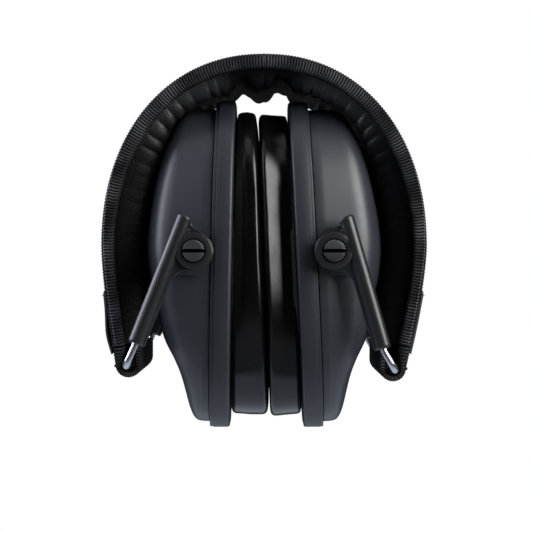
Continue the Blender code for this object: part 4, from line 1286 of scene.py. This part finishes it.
def build_cups():
    shell, ring = build_shell(), build_ring()
    for name in SIDES:
        pieces = (
            (link(name + "_shell", shell.data.copy()), "shell", name + "_cup_shell", "shell_plastic"),
            (link(name + "_rim", ring.data.copy()), "ring", name + "_seal_ring", "ring_plastic"),
            (build_cushion(name), "vinyl", name + "_cushion", "cushion_vinyl"),
            (build_liner(name), "foam", name + "_foam_liner", "foam"),
        )
        for obj, finish, node, slot_name in pieces:
            place_cup(obj, name)
            dress(obj, finish)
            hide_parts(node)
            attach(obj, name + "_cup")
    for master in (shell, ring):
        bpy.data.objects.remove(master, do_unlink=True)


# Studio


def build_world():
    """White paper for the camera, and a dim room for everything else."""
    world = bpy.data.worlds.new("studio")
    bpy.context.scene.world = world
    world.use_nodes = True
    nodes, links = world.node_tree.nodes, world.node_tree.links
    direction = nodes.new("ShaderNodeTexCoord")
    split = nodes.new("ShaderNodeSeparateXYZ")
    links.new(direction.outputs["Generated"], split.inputs["Vector"])
    ramp = nodes.new("ShaderNodeMapRange")
    for socket, number in zip(("From Min", "From Max", "To Min", "To Max"), (-0.2, 0.7, *ROOM_LIGHT)):
        ramp.inputs[socket].default_value = number
    links.new(split.outputs["Y"], ramp.inputs["Value"])
    paper = nodes.new("ShaderNodeLightPath")
    strength = nodes.new("ShaderNodeMix")
    links.new(paper.outputs["Is Camera Ray"], strength.inputs["Factor"])
    links.new(ramp.outputs["Result"], strength.inputs["A"])
    strength.inputs["B"].default_value = 1.0
    background = nodes["Background"]
    background.inputs["Color"].default_value = (1.0, 1.0, 1.0, 1.0)
    links.new(strength.outputs["Result"], background.inputs["Strength"])


def area_lamp(name, place, size, radiance, colour):
    """A rectangular lamp that lights the object but isn't seen itself."""
    data = bpy.data.lights.new(name, "AREA")
    data.shape = "RECTANGLE"
    data.size, data.size_y = size
    data.energy = radiance * size[0] * size[1] * math.pi
    data.color = colour
    lamp = link(name, data)
    lamp.location = place
    lamp.visible_camera = False
    return lamp


def softbox(name, azimuth, distance, middle_z, *settings):
    """A lamp that faces the object; azimuth is from the front, positive to the right."""
    a = math.radians(azimuth)
    lamp = area_lamp(name, (distance * math.sin(a), -distance * math.cos(a), middle_z), *settings)
    lamp.rotation_euler = (Vector(LAMP_TARGET) - lamp.location).to_track_quat("-Z", "Y").to_euler()


def bounce_card(middle_x, middle_y, *settings):
    """A lit card below the object, facing up."""
    card = area_lamp("bounce_card", (middle_x, middle_y, CARD_HEIGHT), *settings)
    card.rotation_euler = (math.radians(180), 0.0, 0.0)


def build_studio():
    build_world()
    for settings in SOFTBOXES:
        softbox(*settings)
    for settings in BOUNCE_CARDS:
        bounce_card(*settings)
    scene = bpy.context.scene
    scene.view_settings.view_transform = "Standard"
    data = bpy.data.cameras.new("camera")
    data.lens, data.sensor_width = CAMERA_LENS, 36.0
    camera = bpy.data.objects.new("camera", data)
    camera.location = CAMERA_PLACE
    camera.rotation_euler = (math.radians(90), 0.0, 0.0)
    scene.collection.objects.link(camera)
    scene.camera = camera


for side_name in SIDES:
    for face_name, face_sign in FACES.items():
        build_tape(side_name, face_name, face_sign)
        build_edge_stitches(side_name, face_name, face_sign)
    build_spring(side_name)
    build_cover(side_name)
    build_flap(side_name)
    build_lining(side_name)
    build_loop(side_name)
    build_wire(side_name)
    build_arms(side_name)
    for node, finish, slot_name in KEPT_NODES:
        kept = frame["nodes"][f"{side_name}_{node}"]
        dress(kept, finish)
build_tabs()
build_screws()
build_cups()
build_studio()
